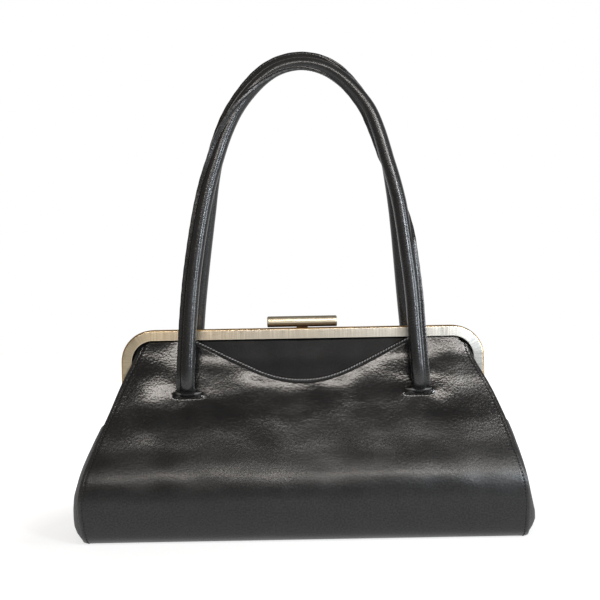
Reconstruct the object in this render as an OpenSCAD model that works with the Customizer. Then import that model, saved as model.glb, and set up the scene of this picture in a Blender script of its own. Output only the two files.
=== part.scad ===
// Framed leather handbag with a bar shaped kiss lock and two rolled handles.
// Front faces -Y, width along X, +Z up. The origin is the middle of the base, on the surface it stands on.

/* [Body] */
// Half width of the panels at the base
base_half_w = 150.3; // [142:0.1:165]
// Height up to which the panels' side edges stand upright
side_turn_z = 20; // [12:1:28]
// Radius of the bend between the upright edge and the sloping one
side_bend_r = 140; // [120:1:160]
// Greatest depth from front to back
body_depth = 96; // [88:1:104]
// Height of the greatest depth
belly_z = 31; // [28:1:34]
// Radius of the swell of the front and the back
belly_r = 45; // [42:1:48]
// Radius at which the panels turn under the base
heel_r = 15; // [13:1:17]
// How far the gussets swell past the panels' edges
gusset_swell = 11; // [7:0.5:13]
// Height of the gussets' fullest point
gusset_swell_z = 13; // [10:1:18]
// How far the gussets' edges lie inside the panels' edges
gusset_inset = 0.6; // [0.3:0.1:1.2]
// How far above the hinge the gussets' upper ends start
gusset_top_low = 9; // [8.5:0.5:12]
// How far above the centre of the frame's corner they end
gusset_top_high = 4; // [0:0.5:5]

/* [Leather, boards and lining] */
// Thickness of the panels, the gussets and the base panel
leather_t = 1.4; // [1.2:0.1:1.5]
// Thickness of the yokes' thinner leather
yoke_t = 1.2; // [0.9:0.1:1.3]
// Thickness of the stiffening boards
board_t = 1.4; // [1.2:0.1:1.5]
// Thickness of the lining
lining_t = 0.6; // [0.4:0.1:0.8]
// Gap between layers that lie on each other
layer_gap = 0.15; // [0.1:0.05:0.2]
// How far the lining's side edges lie inside the panels' edges
lining_inset = 3.5; // [3:0.1:5]
// How far the boards' side edges lie inside the panels' edges
board_inset = 5; // [4:0.5:12]

/* [Frame] */
// Width of the closed frame
frame_w = 254; // [248:0.5:258]
// Height of the frame's top above the base
frame_top_z = 143.9; // [142:0.1:146]
// Height of the strip that shows from the front
frame_face = 7.4; // [6.8:0.1:8]
// Depth of one frame half
frame_depth = 8.2; // [8:0.1:9]
// Wall of the frame's channel
frame_wall = 0.9; // [0.7:0.1:1]
// Outer radius of the frame's corners
frame_corner_r = 22; // [20:0.5:24]
// Gap between the two closed halves
frame_gap = 0.4; // [0.2:0.1:0.6]
// How far the panels and the lining reach up into the frame's channel
tuck = 4.2; // [3.5:0.1:4.4]
// Gap between the panels and the channel's wall
tuck_gap = 0.15; // [0.1:0.05:0.2]
// Place on the frame's inner corner where the panels' side edges leave it, as an angle above level
leave_angle = 52; // [48:1:56]
// Thickness of the paper cord that fills the channel
filler_t = 1.5; // [1.2:0.1:1.6]

/* [Frame hinge] */
// Height of the hinge pins below the frame's top
hinge_drop = 59.9; // [57:0.1:62]
// Radius of the hinge pins
pin_r = 1.5; // [1.2:0.1:1.8]
// Radial clearance between a pin and its lugs
pin_fit = 0.05; // [0.03:0.01:0.08]
// Radius of the pins' heads
pin_head_r = 2.7; // [2.4:0.1:3.2]
// Thickness of the pins' heads
pin_head_t = 1; // [0.8:0.1:1.1]
// Radius of the lugs round the pins
lug_r = 4.2; // [3.8:0.1:4.6]
// Thickness of a lug
lug_t = 2; // [1.6:0.1:2.1]
// Gap on each side of a lug
lug_gap = 0.25; // [0.2:0.05:0.3]
// Gap between the lugs' round ends and the legs' lower ends
leg_gap = 0.7; // [0.5:0.1:1]
// How far up its leg a lug reaches
lug_reach = 8; // [6:0.5:12]

/* [Kiss lock] */
// Length of a clasp bar
bar_len = 49; // [40:0.5:60]
// Radius of a clasp bar
bar_r = 3.75; // [3.4:0.05:3.8]
// Gap between the frame's top and the bars
bar_lift = 0.65; // [0.4:0.05:1.2]
// Chamfer at the bars' ends
bar_chamfer = 0.5; // [0.3:0.1:0.8]
// Width of the post that carries a bar
post_w = 8; // [6:0.5:12]
// Depth of that post
post_d = 5.4; // [4:0.1:6]
// Radius of the rivet stem below the post
stem_r = 1.3; // [1:0.1:1.4]
// Gap between the stem and the holes that it goes through
stem_gap = 0.1; // [0.05:0.05:0.15]
// Radius of the washer and of the stem's peened head
washer_r = 1.9; // [1.7:0.1:2]
// Thickness of the washer and of the peened head
washer_t = 0.5; // [0.4:0.05:0.55]

/* [Yoke] */
// How far the panel's V edge dips below the frame's lower edge
v_dip = 27; // [22:0.5:31]
// Radius of the V's rounded bottom
v_r = 80; // [60:1:95]
// Slope of the V's arms, in degrees
v_slope = 25.2; // [23:0.1:28]
// How far the yoke runs on behind the panel's V edge
v_lap = 8; // [5:0.5:10]

/* [Handles] */
// Radius of a handle with its leather cover
handle_r = 5.15; // [4.6:0.05:5.4]
// Radius of the cord inside it
cord_r = 3.7; // [3:0.1:4]
// How far the cover's sewn edge stands out
welt_reach = 2.6; // [1.6:0.1:3.2]
// Thickness of the cover's sewn edge
welt_t = 1.8; // [1.4:0.1:2.4]
// Distance of the handles' ends from the middle
handle_half_span = 79.5; // [74:0.5:86]
// Distance from the frame's top down to the slits where the handles enter the panels
slit_drop = 43.4; // [42:0.1:46]
// Height of the handle's turning axis above the slit
handle_rise = 5; // [4.5:0.5:6]
// Height of the front handle's middle line above the frame's top
handle_height = 185.6; // [160:0.1:205]
// How much higher the rear handle stands
rear_extra = 5; // [0:0.5:10]
// Length of the lower and upper control arms of the front arch
front_arms = [138, 56]; // [40:1:160]
// Length of the lower and upper control arms of the rear arch
rear_arms = [80, 72]; // [40:1:160]
// Slope of the legs towards the middle as they leave the panel, in degrees
leg_slope = 4.5; // [2:0.5:7]
// Gap between the two handles where they lean on each other
handle_gap = 0.7; // [0.4:0.1:2]
// Width of a handle's rounded end
handle_end_w = 16; // [13:0.5:18]
// Radius of that end
handle_end_r = 5; // [4.5:0.05:5.2]
// Width of a slit
slit_w = 17; // [15:0.5:19]
// Height of a slit
slit_h = 1.8; // [1.4:0.1:2.4]
// Width of the folded rim round a slit
rim_w = 1.8; // [1.2:0.1:2.4]
// Thickness of that rim
rim_t = 0.9; // [0.6:0.1:1.2]
// Length of the flat tab that holds a handle behind the panel
tab_len = 12; // [8:0.5:13]
// Thickness of that tab
tab_t = 1.3; // [1:0.1:1.4]
// Gap between a piece and what it lies against
seat_gap = 0.3; // [0.2:0.05:0.4]

/* [Opening] */
// How far each half can open, in degrees
open_angle = 35; // [20:1:35]
// How far the fold between the upper and lower panels lies past half that angle, in degrees
fold_margin = 4.5; // [3:0.5:6]
// Gap along that fold
fold_gap = 0.4; // [0.3:0.1:0.6]
// Height of the gussets' upper end below the hinge
gusset_drop = 8; // [7:0.5:12]
// Height of the lining tub's upper edge below the hinge
tub_drop = 14; // [12:0.5:20]
// Height of the body boards' upper edge below the hinge
board_drop = 7; // [6.5:0.5:12]
// Height of the frame lining's lower edge below the hinge
frame_lining_drop = 4; // [2:0.5:4]

/* [Hidden] */

// A little extra length for cuts that run past a face
over = 1;
// Half width that is wider than any piece
wide = 400;
$fn = 48;

// Frame: half width, lower edge, corner centre, and the hinge
frame_half_w = frame_w / 2;
frame_low_z = frame_top_z - frame_face;
corner_x = frame_half_w - frame_corner_r;
corner_z = frame_top_z - frame_corner_r;
inner_corner_r = frame_corner_r - frame_face;
frame_front_y = frame_gap / 2 + frame_depth;
hinge_z = frame_top_z - hinge_drop;
leg_low_z = hinge_z + lug_r + leg_gap;
tuck_z = frame_low_z + tuck;

// Layers, as distances from the outer leather surface
board_in = leather_t + layer_gap;
lining_in = board_in + board_t + layer_gap;

// Side profile: centres of the belly arc and the heel arc, and the slope of the straight upper part
belly_y = body_depth / 2 - belly_r;
heel_angle = asin((belly_z - heel_r) / (belly_r - heel_r));
heel_y = belly_y + (belly_r - heel_r) * cos(heel_angle);
mouth_y = frame_front_y - frame_wall - tuck_gap;
mouth_rise = frame_low_z - belly_z;
mouth_in = mouth_y - belly_y;
slope = asin(belly_r / norm([mouth_in, mouth_rise])) - atan(mouth_in / mouth_rise);
line_c = belly_r + belly_y * cos(slope) + belly_z * sin(slope);
arc_steps = 8;

// Half depth of the body at a height, measured to the surface that lies `inset` inside the leather
function half_depth(z, inset) =
  z > belly_z + (belly_r - inset) * sin(slope) ? (line_c - inset - z * sin(slope)) / cos(slope) :
  z > belly_z - (belly_r - inset) * sin(heel_angle) ?
    belly_y + sqrt(pow(belly_r - inset, 2) - pow(z - belly_z, 2)) :
  heel_y + sqrt(max(0, pow(heel_r - inset, 2) - pow(z - heel_r, 2)));

// Front view: the panels' side edge runs upright, round a bend and straight to the frame's corner
edge_top = [corner_x, corner_z] + (inner_corner_r - seat_gap) * [cos(leave_angle), sin(leave_angle)];
bend_centre = [base_half_w - side_bend_r, side_turn_z];
to_edge_top = edge_top - bend_centre;
edge_slope = atan2(to_edge_top[1], to_edge_top[0]) - acos(side_bend_r / norm(to_edge_top));
bend_top = bend_centre + side_bend_r * [cos(edge_slope), sin(edge_slope)];

// Half width of a panel at a height
function half_width(z) =
  z < side_turn_z ? base_half_w :
  z < bend_top[1] ? bend_centre[0] + sqrt(pow(side_bend_r, 2) - pow(z - side_turn_z, 2)) :
  bend_top[0] - (z - bend_top[1]) * tan(edge_slope);

// Fold of the panels: an arc about the hinge, far enough below its nearest point to stay clear when open
hinge_to_panel = line_c - hinge_z * sin(slope);
fold_angle = open_angle / 2 + fold_margin;
fold_r = hinge_to_panel / cos(fold_angle);
// How far both panels run past the hinge's height before the fold is cut
fold_band = 6;

// Kiss lock
bar_y = bar_r + frame_gap / 2;
bar_z = frame_top_z + bar_lift + bar_r;

// Handles: the turning axis lies in front of the slit, and the arch leans to its neighbour
slit_z = frame_top_z - slit_drop;
handle_axis_z = slit_z + handle_rise;
handle_axis_y = half_depth(handle_axis_z, 0) + (handle_end_r + rim_t + seat_gap) / cos(slope);
handle_lean_y = handle_axis_y - handle_r - handle_gap / 2;
arch_steps = 20;
round_steps = 12;

// V edge of a panel, from the left to the right, lowered by `drop`
function v_edge(drop) =
  let (
    low_z = frame_low_z - v_dip - drop,
    arm_x = v_r * sin(v_slope),
    arm_z = low_z + v_r * (1 - cos(v_slope)),
    end_x = arm_x + (frame_top_z - arm_z) / tan(v_slope)
  )
  concat(
    [[-end_x, frame_top_z]],
    [for (k = [-arc_steps:arc_steps])
      let (a = v_slope * k / arc_steps) [v_r * sin(a), low_z + v_r * (1 - cos(a))]],
    [[end_x, frame_top_z]]
  );

// Puts a piece that is drawn for the front on the front or the back
module on_side(side) {
  if (side == "rear") mirror([0, 1, 0]) children();
  else children();
}

// Draws a right-hand piece on both sides
module both_ends() {
  for (m = [0, 1]) mirror([m, 0, 0]) children();
}

// Stands a flat drawing of the front view up, from y0 to y1
module front_prism(y0, y1) {
  translate([0, y1, 0]) rotate([90, 0, 0]) linear_extrude(y1 - y0) children();
}

// Stands a flat drawing of the side view, with y to the right and z up, from x0 to x1
module side_prism(x0, x1) {
  translate([x0, 0, 0]) rotate([90, 0, 90]) linear_extrude(x1 - x0) children();
}

// A round bar along X about the hinge axis or another axis
module bar_x(r, x0, x1, y = 0, z = 0) {
  translate([x0, y, z]) rotate([0, 90, 0]) cylinder(r = r, h = x1 - x0);
}

// Local frame on the front panel: X along it, Y into it, Z up along it
module at_panel(x, z) {
  translate([x, -half_depth(z, 0), z]) rotate([-slope, 0, 0]) children();
}

// Solid between two grids of points, rows upwards and columns along +Y with the first grid outside
module slab(outer, inner, wrap = false) {
  rows = len(outer);
  cols = len(outer[0]);
  last = wrap ? cols : cols - 1;
  function at(layer, i, j) = layer * rows * cols + i * cols + (j % cols);
  function quad(a, b, c, d) = [[a, b, c], [a, c, d]];
  skins = [for (i = [0:rows - 2], j = [0:last - 1]) each concat(
    quad(at(0, i, j), at(0, i + 1, j), at(0, i + 1, j + 1), at(0, i, j + 1)),
    quad(at(1, i, j), at(1, i, j + 1), at(1, i + 1, j + 1), at(1, i + 1, j))
  )];
  ends = [for (j = [0:last - 1]) each concat(
    quad(at(0, 0, j), at(0, 0, j + 1), at(1, 0, j + 1), at(1, 0, j)),
    quad(at(0, rows - 1, j + 1), at(0, rows - 1, j), at(1, rows - 1, j), at(1, rows - 1, j + 1))
  )];
  sides = wrap ? [] : [for (i = [0:rows - 2]) each concat(
    quad(at(0, i + 1, 0), at(0, i, 0), at(1, i, 0), at(1, i + 1, 0)),
    quad(at(0, i, last), at(0, i + 1, last), at(1, i + 1, last), at(1, i, last))
  )];
  polyhedron([for (g = [outer, inner], row = g, p = row) p], concat(skins, ends, sides));
}

// Solid through a list of rings, closed with flat ends
module rod(rings) {
  n = len(rings[0]);
  top = (len(rings) - 1) * n;
  skins = [for (i = [0:len(rings) - 2], j = [0:n - 1])
    let (a = i * n + j, b = i * n + (j + 1) % n) each [[a, a + n, b + n], [a, b + n, b]]];
  caps = [for (k = [1:n - 2]) each [[0, k, k + 1], [top, top + k + 1, top + k]]];
  polyhedron([for (r = rings, p = r) p], concat(skins, caps));
}

// Profile of the front from the base to the height z1, at a distance inside the leather surface
function profile(inset, z1) = concat(
  [for (k = [0:arc_steps])
    let (a = 90 - (90 - heel_angle) * k / arc_steps)
    [-heel_y - (heel_r - inset) * cos(a), heel_r - (heel_r - inset) * sin(a)]],
  [for (k = [1:arc_steps])
    let (a = -heel_angle + (heel_angle + slope) * k / arc_steps)
    [-belly_y - (belly_r - inset) * cos(a), belly_z + (belly_r - inset) * sin(a)]],
  [[-half_depth(z1, inset), z1]]
);

// A layer of the front, from the base to z1
module layer(from, thickness, z1) {
  inner = profile(from + thickness, z1);
  side_prism(-wide / 2, wide / 2)
    polygon(concat(profile(from, z1), [for (k = [len(inner) - 1:-1:0]) inner[k]]));
}

// A layer of the straight upper part of the front, from z0 to z1
module upper_layer(from, thickness, z0, z1) {
  side_prism(-wide / 2, wide / 2) polygon([
    [-half_depth(z0, from), z0],
    [-half_depth(z1, from), z1],
    [-half_depth(z1, from + thickness), z1],
    [-half_depth(z0, from + thickness), z0]
  ]);
}

// Front view of the panels, drawn in by `inset` at the sides
module outline(inset) {
  right = concat(
    [[base_half_w - inset, -over]],
    [for (k = [0:arc_steps])
      let (a = edge_slope * k / arc_steps)
      bend_centre + (side_bend_r - inset) * [cos(a), sin(a)]],
    [edge_top - [inset, 0], [corner_x - inset, frame_low_z - seat_gap], [corner_x - inset, tuck_z]]
  );
  polygon(concat(right, [for (k = [len(right) - 1:-1:0]) [-right[k][0], right[k][1]]]));
}

// Front view of the closed frame, drawn in by `inset`, down to z0
module arch(inset, z0) {
  half_w = frame_half_w - inset;
  r = frame_corner_r - inset;
  top_z = frame_top_z - inset;
  translate([-half_w, z0]) square([2 * half_w, corner_z - z0]);
  translate([-corner_x, z0]) square([2 * corner_x, top_z - z0]);
  for (s = [-1, 1]) translate([s * corner_x, corner_z]) circle(r);
}

// Panels

module panel_lower(side) {
  color("#15151a") on_side(side) difference() {
    intersection() {
      layer(0, leather_t, hinge_z + fold_band);
      front_prism(-body_depth, 0) outline(0);
    }
    bar_x(fold_r + fold_gap, -wide / 2, wide / 2, 0, hinge_z);
  }
}

module panel_upper(side) {
  color("#17171c") on_side(side) difference() {
    intersection() {
      upper_layer(0, leather_t, hinge_z - fold_band, tuck_z);
      front_prism(-body_depth, 0) difference() {
        outline(0);
        polygon(v_edge(0));
      }
    }
    difference() {
      translate([-wide / 2, -wide / 2, -over]) cube([wide, wide, hinge_z + fold_band + over]);
      bar_x(fold_r, -wide, wide, 0, hinge_z);
    }
    for (s = [-1, 1]) at_panel(s * handle_half_span, slit_z) slit(2 * leather_t);
  }
}

module yoke(side) {
  color("#101014") on_side(side) intersection() {
    upper_layer(leather_t + layer_gap / 2, yoke_t, hinge_z, tuck_z);
    front_prism(-body_depth, 0) intersection() {
      outline(0);
      polygon(v_edge(v_lap));
    }
  }
}

module base_panel() {
  color("#111115") translate([-base_half_w, -heel_y + layer_gap, 0])
    cube([2 * base_half_w, 2 * (heel_y - layer_gap), leather_t]);
}

// Gussets

// How far the gusset swells at a height, as a share of its fullest: it flattens towards the frame
function swell(z) =
  z < gusset_swell_z ? sin(90 * z / gusset_swell_z) :
  (1 + cos(180 * (z - gusset_swell_z) / (frame_low_z - gusset_swell_z))) / 2;

module gusset() {
  rows = 14;
  cols = 10;
  z0 = leather_t + seat_gap;
  z1 = hinge_z - gusset_drop;
  function grid(inset) = [for (i = [0:rows])
    let (z = z0 + (z1 - z0) * i / rows, y1 = half_depth(z, leather_t + seat_gap))
    [for (j = [0:cols])
      let (u = 2 * j / cols - 1)
      [half_width(z) - gusset_inset - inset + gusset_swell * swell(z) * (1 - u * u), u * y1, z]]];
  color("#141418") slab(grid(0), grid(leather_t));
}

// Upper ends of the gussets, from the panel's edge to the frame's leg
module gusset_tops(side) {
  rows = 6;
  z0 = hinge_z + gusset_top_low;
  z1 = corner_z + gusset_top_high;
  leg_y = frame_front_y + seat_gap;
  leg_x = frame_half_w - gusset_inset;
  function grid(inset) = [for (i = [0:rows])
    let (
      z = z0 + (z1 - z0) * i / rows,
      edge_x = half_width(z) - gusset_inset,
      start = [edge_x - inset, -half_depth(z, leather_t + seat_gap), z],
      end = [min(edge_x, leg_x) - inset, -leg_y, z]
    )
    [for (j = [0:2]) start + (end - start) * j / 2]];
  color("#141418") on_side(side) both_ends() slab(grid(0), grid(leather_t));
}

// Boards and lining

module body_board(side) {
  color("#8a7a5e") on_side(side) intersection() {
    layer(board_in, board_t, hinge_z - board_drop);
    front_prism(-body_depth, -heel_y - layer_gap) outline(board_inset);
  }
}

module base_board() {
  half_w = base_half_w - board_inset;
  color("#8a7a5e") translate([-half_w, -heel_y + layer_gap, board_in])
    cube([2 * half_w, 2 * (heel_y - layer_gap), board_t]);
}

// Whole inside of the body up to z1, at a distance inside the leather surface
module tub_core(inset, side_inset, z1) {
  half = profile(inset, z1);
  intersection() {
    side_prism(-wide / 2, wide / 2)
      polygon(concat(half, [for (k = [len(half) - 1:-1:0]) [-half[k][0], half[k][1]]]));
    front_prism(-body_depth, body_depth) outline(side_inset);
  }
}

module lining_tub() {
  z1 = hinge_z - tub_drop;
  color("#5b2a2e") difference() {
    tub_core(lining_in, lining_inset, z1);
    tub_core(lining_in + lining_t, lining_inset + lining_t, z1 + over);
  }
}

module frame_lining(side) {
  color("#5b2a2e") on_side(side) intersection() {
    upper_layer(lining_in, lining_t, hinge_z - frame_lining_drop, tuck_z);
    front_prism(-body_depth, 0) outline(lining_inset + lining_t);
  }
}

// Frame

// The legs' lugs stand beside each other on the pin, the front one nearer the middle
front_lug_x = frame_half_w - frame_wall - 2 * lug_t - pin_head_t - 3 * lug_gap;
rear_lug_x = front_lug_x + lug_t + lug_gap;
inner_head_x = front_lug_x - lug_gap - pin_head_t;
outer_head_x = rear_lug_x + lug_t + lug_gap;

module lug(x) {
  wall = frame_wall / 2;
  both_ends() {
    bar_x(lug_r, x, x + lug_t, 0, hinge_z);
    side_prism(x, x + lug_t) polygon([
      [-frame_gap / 2 - wall, hinge_z],
      [-frame_gap / 2 - wall, leg_low_z + lug_reach],
      [-frame_front_y + wall, leg_low_z + lug_reach],
      [-frame_front_y + wall, leg_low_z],
      [-lug_r, hinge_z]
    ]);
  }
}

module frame_half(side) {
  lug_x = side == "rear" ? rear_lug_x : front_lug_x;
  color("#c9b27c") on_side(side) difference() {
    union() {
      difference() {
        front_prism(-frame_front_y, -frame_gap / 2) arch(0, leg_low_z);
        front_prism(-wide / 2, wide / 2) arch(frame_face, leg_low_z - over);
        front_prism(-frame_front_y + frame_wall, -frame_gap / 2 - frame_wall)
          arch(frame_wall, leg_low_z - over);
      }
      lug(lug_x);
    }
    bar_x(pin_r + pin_fit, -wide / 2, wide / 2, 0, hinge_z);
    translate([0, -bar_y, frame_top_z - 2 * frame_wall])
      cylinder(r = stem_r + stem_gap, h = 3 * frame_wall);
  }
}

module frame_filler(side) {
  front_y = frame_front_y - frame_wall - tuck_gap;
  outer = frame_wall + layer_gap;
  low_z = leg_low_z + lug_reach + seat_gap;
  color("#b9a583") on_side(side) difference() {
    front_prism(-front_y, -front_y + filler_t) arch(outer, low_z);
    front_prism(-front_y - over, -front_y + filler_t + over) arch(outer + filler_t, low_z - over);
  }
}

module hinge_pin(end) {
  color("#a8935f") mirror([end == "left" ? 1 : 0, 0, 0]) {
    bar_x(pin_r, inner_head_x, outer_head_x + pin_head_t, 0, hinge_z);
    bar_x(pin_head_r, inner_head_x, inner_head_x + pin_head_t, 0, hinge_z);
    bar_x(pin_head_r, outer_head_x, outer_head_x + pin_head_t, 0, hinge_z);
  }
}

// Kiss lock

washer_z = frame_top_z - frame_wall - washer_t;

module clasp_bar(side) {
  half = bar_len / 2;
  color("#d3bf8d") on_side(side) {
    translate([0, -bar_y, bar_z]) rotate([0, 90, 0]) rotate_extrude() polygon([
      [0, -half],
      [bar_r - bar_chamfer, -half],
      [bar_r, -half + bar_chamfer],
      [bar_r, half - bar_chamfer],
      [bar_r - bar_chamfer, half],
      [0, half]
    ]);
    translate([-post_w / 2, -bar_y - post_d / 2, frame_top_z]) cube([post_w, post_d, bar_lift + bar_r]);
    translate([0, -bar_y, washer_z - washer_t / 2]) cylinder(r = stem_r, h = 2 * washer_t + frame_wall);
    translate([0, -bar_y, washer_z - washer_t]) cylinder(r = washer_r, h = washer_t);
  }
}

module clasp_washer(side) {
  color("#9c8a5c") on_side(side) translate([0, -bar_y, washer_z]) difference() {
    cylinder(r = washer_r, h = washer_t);
    translate([0, 0, -over]) cylinder(r = stem_r + stem_gap, h = washer_t + 2 * over);
  }
}

// Handles

// Cut for a slit, through a thickness on both sides of the panel's surface
module slit(reach) {
  cube([slit_w, 2 * reach, slit_h], center = true);
}

module slit_rims(side) {
  half = slit_w / 2;
  half_h = slit_h / 2 + rim_w;
  color("#1c1c22") on_side(side) for (s = [-1, 1])
    at_panel(s * handle_half_span, slit_z) difference() {
      rotate([90, 0, 0]) linear_extrude(rim_t) {
        square([slit_w, 2 * half_h], center = true);
        for (e = [-1, 1]) translate([e * half, 0]) circle(half_h);
      }
      slit(2 * rim_t);
    }
}

module handle_tabs(side) {
  color("#1c1c22") on_side(side) for (s = [-1, 1])
    at_panel(s * handle_half_span, slit_z)
      translate([-slit_w / 2, leather_t + layer_gap / 2, -tab_len - slit_h / 2])
        cube([slit_w, tab_t, tab_len]);
}

// Point on a cubic curve, and its direction
function curve(p, t) =
  pow(1 - t, 3) * p[0] + 3 * pow(1 - t, 2) * t * p[1] + 3 * (1 - t) * t * t * p[2] + pow(t, 3) * p[3];
function curve_way(p, t) =
  let (d = pow(1 - t, 2) * (p[1] - p[0]) + 2 * (1 - t) * t * (p[2] - p[1]) + t * t * (p[3] - p[2]))
  d / norm(d);

function handle_top(side) = frame_top_z + handle_height + (side == "rear" ? rear_extra : 0);
function handle_lean(side) = atan(handle_lean_y / (handle_top(side) - handle_axis_z));

// Left half of a handle's middle line, in its own leaning plane, as a cubic curve from the axis up
function arch_curve(side) =
  let (
    arms = side == "rear" ? rear_arms : front_arms,
    top = norm([handle_lean_y, handle_top(side) - handle_axis_z])
  )
  [
    [-handle_half_span, 0],
    [-handle_half_span + arms[0] * sin(leg_slope), arms[0] * cos(leg_slope)],
    [-arms[1], top],
    [0, top]
  ];

// Middle line with its direction, from the left end over the top to the right end
function arch_line(side, from) =
  let (
    p = arch_curve(side),
    t0 = from / (3 * norm(p[1] - p[0])),
    half = [for (k = [0:arch_steps])
      let (t = t0 + (1 - t0) * k / arch_steps) [curve(p, t), curve_way(p, t)]]
  )
  concat(half, [for (k = [arch_steps - 1:-1:0])
    [[-half[k][0][0], half[k][0][1]], [half[k][1][0], -half[k][1][1]]]]);

// Rings of a section, given as points across and outwards, carried along the middle line
function carried(line, section) = [for (s = line) [for (q = section)
  [s[0][0] - s[1][1] * q[0], -q[1], s[0][1] + s[1][0] * q[0]]]];

// Round section with the sewn edge on its outer side
welt_angle = asin(welt_t / 2 / handle_r);
cover_section = concat(
  [[handle_r + welt_reach, welt_t / 2]],
  [for (k = [0:round_steps])
    let (a = welt_angle + (360 - 2 * welt_angle) * k / round_steps) handle_r * [cos(a), sin(a)]],
  [[handle_r + welt_reach, -welt_t / 2]]
);

function circle_points(r, n) = [for (k = [0:n - 1]) r * [cos(360 * k / n), sin(360 * k / n)]];

module at_handle(side) {
  on_side(side) translate([0, -handle_axis_y, handle_axis_z]) rotate([-handle_lean(side), 0, 0]) children();
}

module handle_cover(side) {
  line = arch_line(side, handle_end_r + seat_gap);
  color("#18181d") at_handle(side) slab(
    carried(line, cover_section),
    carried(line, circle_points(cord_r + layer_gap, len(cover_section))),
    wrap = true
  );
}

module handle_cord(side) {
  color("#cfc3a6") at_handle(side)
    rod(carried(arch_line(side, handle_end_r + seat_gap), circle_points(cord_r, round_steps)));
}

module handle_ends(side) {
  half = handle_end_w / 2;
  color("#18181d") at_handle(side) for (s = [-1, 1])
    bar_x(handle_end_r, s * handle_half_span - half, s * handle_half_span + half);
}

panel_lower("front");  // front_panel_lower
panel_lower("rear");  // rear_panel_lower
base_panel();
body_board("front");  // front_board
body_board("rear");  // rear_board
base_board();
mirror([1, 0, 0]) gusset();  // left_gusset
gusset();  // right_gusset
lining_tub();
hinge_pin("left");  // left_hinge_pin
hinge_pin("right");  // right_hinge_pin
frame_half("front");  // front_frame
frame_filler("front");  // front_frame_filler
clasp_bar("front");  // front_clasp_bar
clasp_washer("front");  // front_clasp_washer
panel_upper("front");  // front_panel_upper
yoke("front");  // front_yoke
frame_lining("front");  // front_lining
gusset_tops("front");  // front_gusset_tops
slit_rims("front");  // front_slit_rims
handle_tabs("front");  // front_handle_tabs
frame_half("rear");  // rear_frame
frame_filler("rear");  // rear_frame_filler
clasp_bar("rear");  // rear_clasp_bar
clasp_washer("rear");  // rear_clasp_washer
panel_upper("rear");  // rear_panel_upper
yoke("rear");  // rear_yoke
frame_lining("rear");  // rear_lining
gusset_tops("rear");  // rear_gusset_tops
slit_rims("rear");  // rear_slit_rims
handle_tabs("rear");  // rear_handle_tabs
handle_cover("front");  // front_handle_cover
handle_cord("front");  // front_handle_cord
handle_ends("front");  // front_handle_ends
handle_cover("rear");  // rear_handle_cover
handle_cord("rear");  // rear_handle_cord
handle_ends("rear");  // rear_handle_ends
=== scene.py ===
import math
import random

import bmesh
import bpy
import numpy as np
from mathutils import Matrix, Vector
from mathutils.geometry import tessellate_polygon


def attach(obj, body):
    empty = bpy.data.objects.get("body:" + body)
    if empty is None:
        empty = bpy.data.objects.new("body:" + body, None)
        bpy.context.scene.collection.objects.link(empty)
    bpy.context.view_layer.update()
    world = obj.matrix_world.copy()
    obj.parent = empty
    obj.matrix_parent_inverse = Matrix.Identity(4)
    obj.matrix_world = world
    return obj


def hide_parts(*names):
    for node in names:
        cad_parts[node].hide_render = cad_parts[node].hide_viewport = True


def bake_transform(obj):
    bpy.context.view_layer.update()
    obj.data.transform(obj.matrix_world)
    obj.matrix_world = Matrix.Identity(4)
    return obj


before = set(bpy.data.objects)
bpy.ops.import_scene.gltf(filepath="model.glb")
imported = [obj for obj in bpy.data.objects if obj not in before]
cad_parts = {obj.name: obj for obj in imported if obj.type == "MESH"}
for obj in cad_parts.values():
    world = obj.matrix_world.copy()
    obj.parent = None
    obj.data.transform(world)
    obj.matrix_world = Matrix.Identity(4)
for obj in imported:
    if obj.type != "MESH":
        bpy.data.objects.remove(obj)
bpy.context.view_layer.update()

MM = 0.001
FRONT, REAR = -1, 1
LEFT, RIGHT = -1, 1
SIDES = {FRONT: "front", REAR: "rear"}
ENDS = {LEFT: "left", RIGHT: "right"}

# Sizes of the part, in millimetres
BELLY_Z, BELLY_R, HEEL_R = 31.0, 45.0, 15.0
BODY_DEPTH, BASE_HALF_W, BASE_HALF_D = 96.0, 150.3, 27.5
SIDE_TURN_Z, SIDE_BEND_R = 20.0, 140.0
LEATHER_T, YOKE_T, BOARD_T, LINING_T, LAYER_GAP = 1.4, 1.2, 1.4, 0.6, 0.15
FRAME_HALF_W, FRAME_TOP_Z, FRAME_FACE = 127.0, 143.9, 7.4
FRAME_FRONT_Y, FRAME_BACK_Y, FRAME_WALL, CORNER_R = 8.4, 0.2, 0.9, 22.0
FRAME_LOW_Z = FRAME_TOP_Z - FRAME_FACE
CORNER_X, CORNER_Z = FRAME_HALF_W - CORNER_R, FRAME_TOP_Z - CORNER_R
INNER_CORNER_R = CORNER_R - FRAME_FACE
TUCK_Z, TUCK_GAP = 140.7, 0.4
LEAVE_ANGLE = math.radians(52.0)
HINGE_Z, LEG_LOW_Z = 84.0, 88.9
V_DIP, V_R, V_SLOPE, V_HALF_W = 27.0, 80.0, math.radians(25.2), 92
HANDLE_SPAN, SLIT_Z, AXIS_Z, AXIS_Y = 79.5, 102.9, 105.5, 27.15
HANDLE_R, LEG_SLOPE = 5.15, math.radians(4.5)
PANEL_INSET = 0.5


def along(points):
    """Length along a line of points, at each of them."""
    return np.concatenate([[0], np.cumsum(np.linalg.norm(np.diff(points, axis=0), axis=1))])


def unit(v):
    return v / np.maximum(np.linalg.norm(v, axis=-1, keepdims=True), 1e-9)


def stack(*parts):
    """Arrays of coordinates put together as points, along a new last axis."""
    return np.stack(np.broadcast_arrays(*parts), -1)


def on_line(at, d, points):
    """Points at the lengths `at` on a line whose own points lie at the lengths d."""
    return np.stack([np.interp(at, d, points[:, k]) for k in range(3)], 1)


def turns(count):
    """Even angles once round."""
    return np.linspace(0, 2 * math.pi, count, endpoint=False)


def bell(value, width):
    return np.exp(-(value / width) ** 2)


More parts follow.
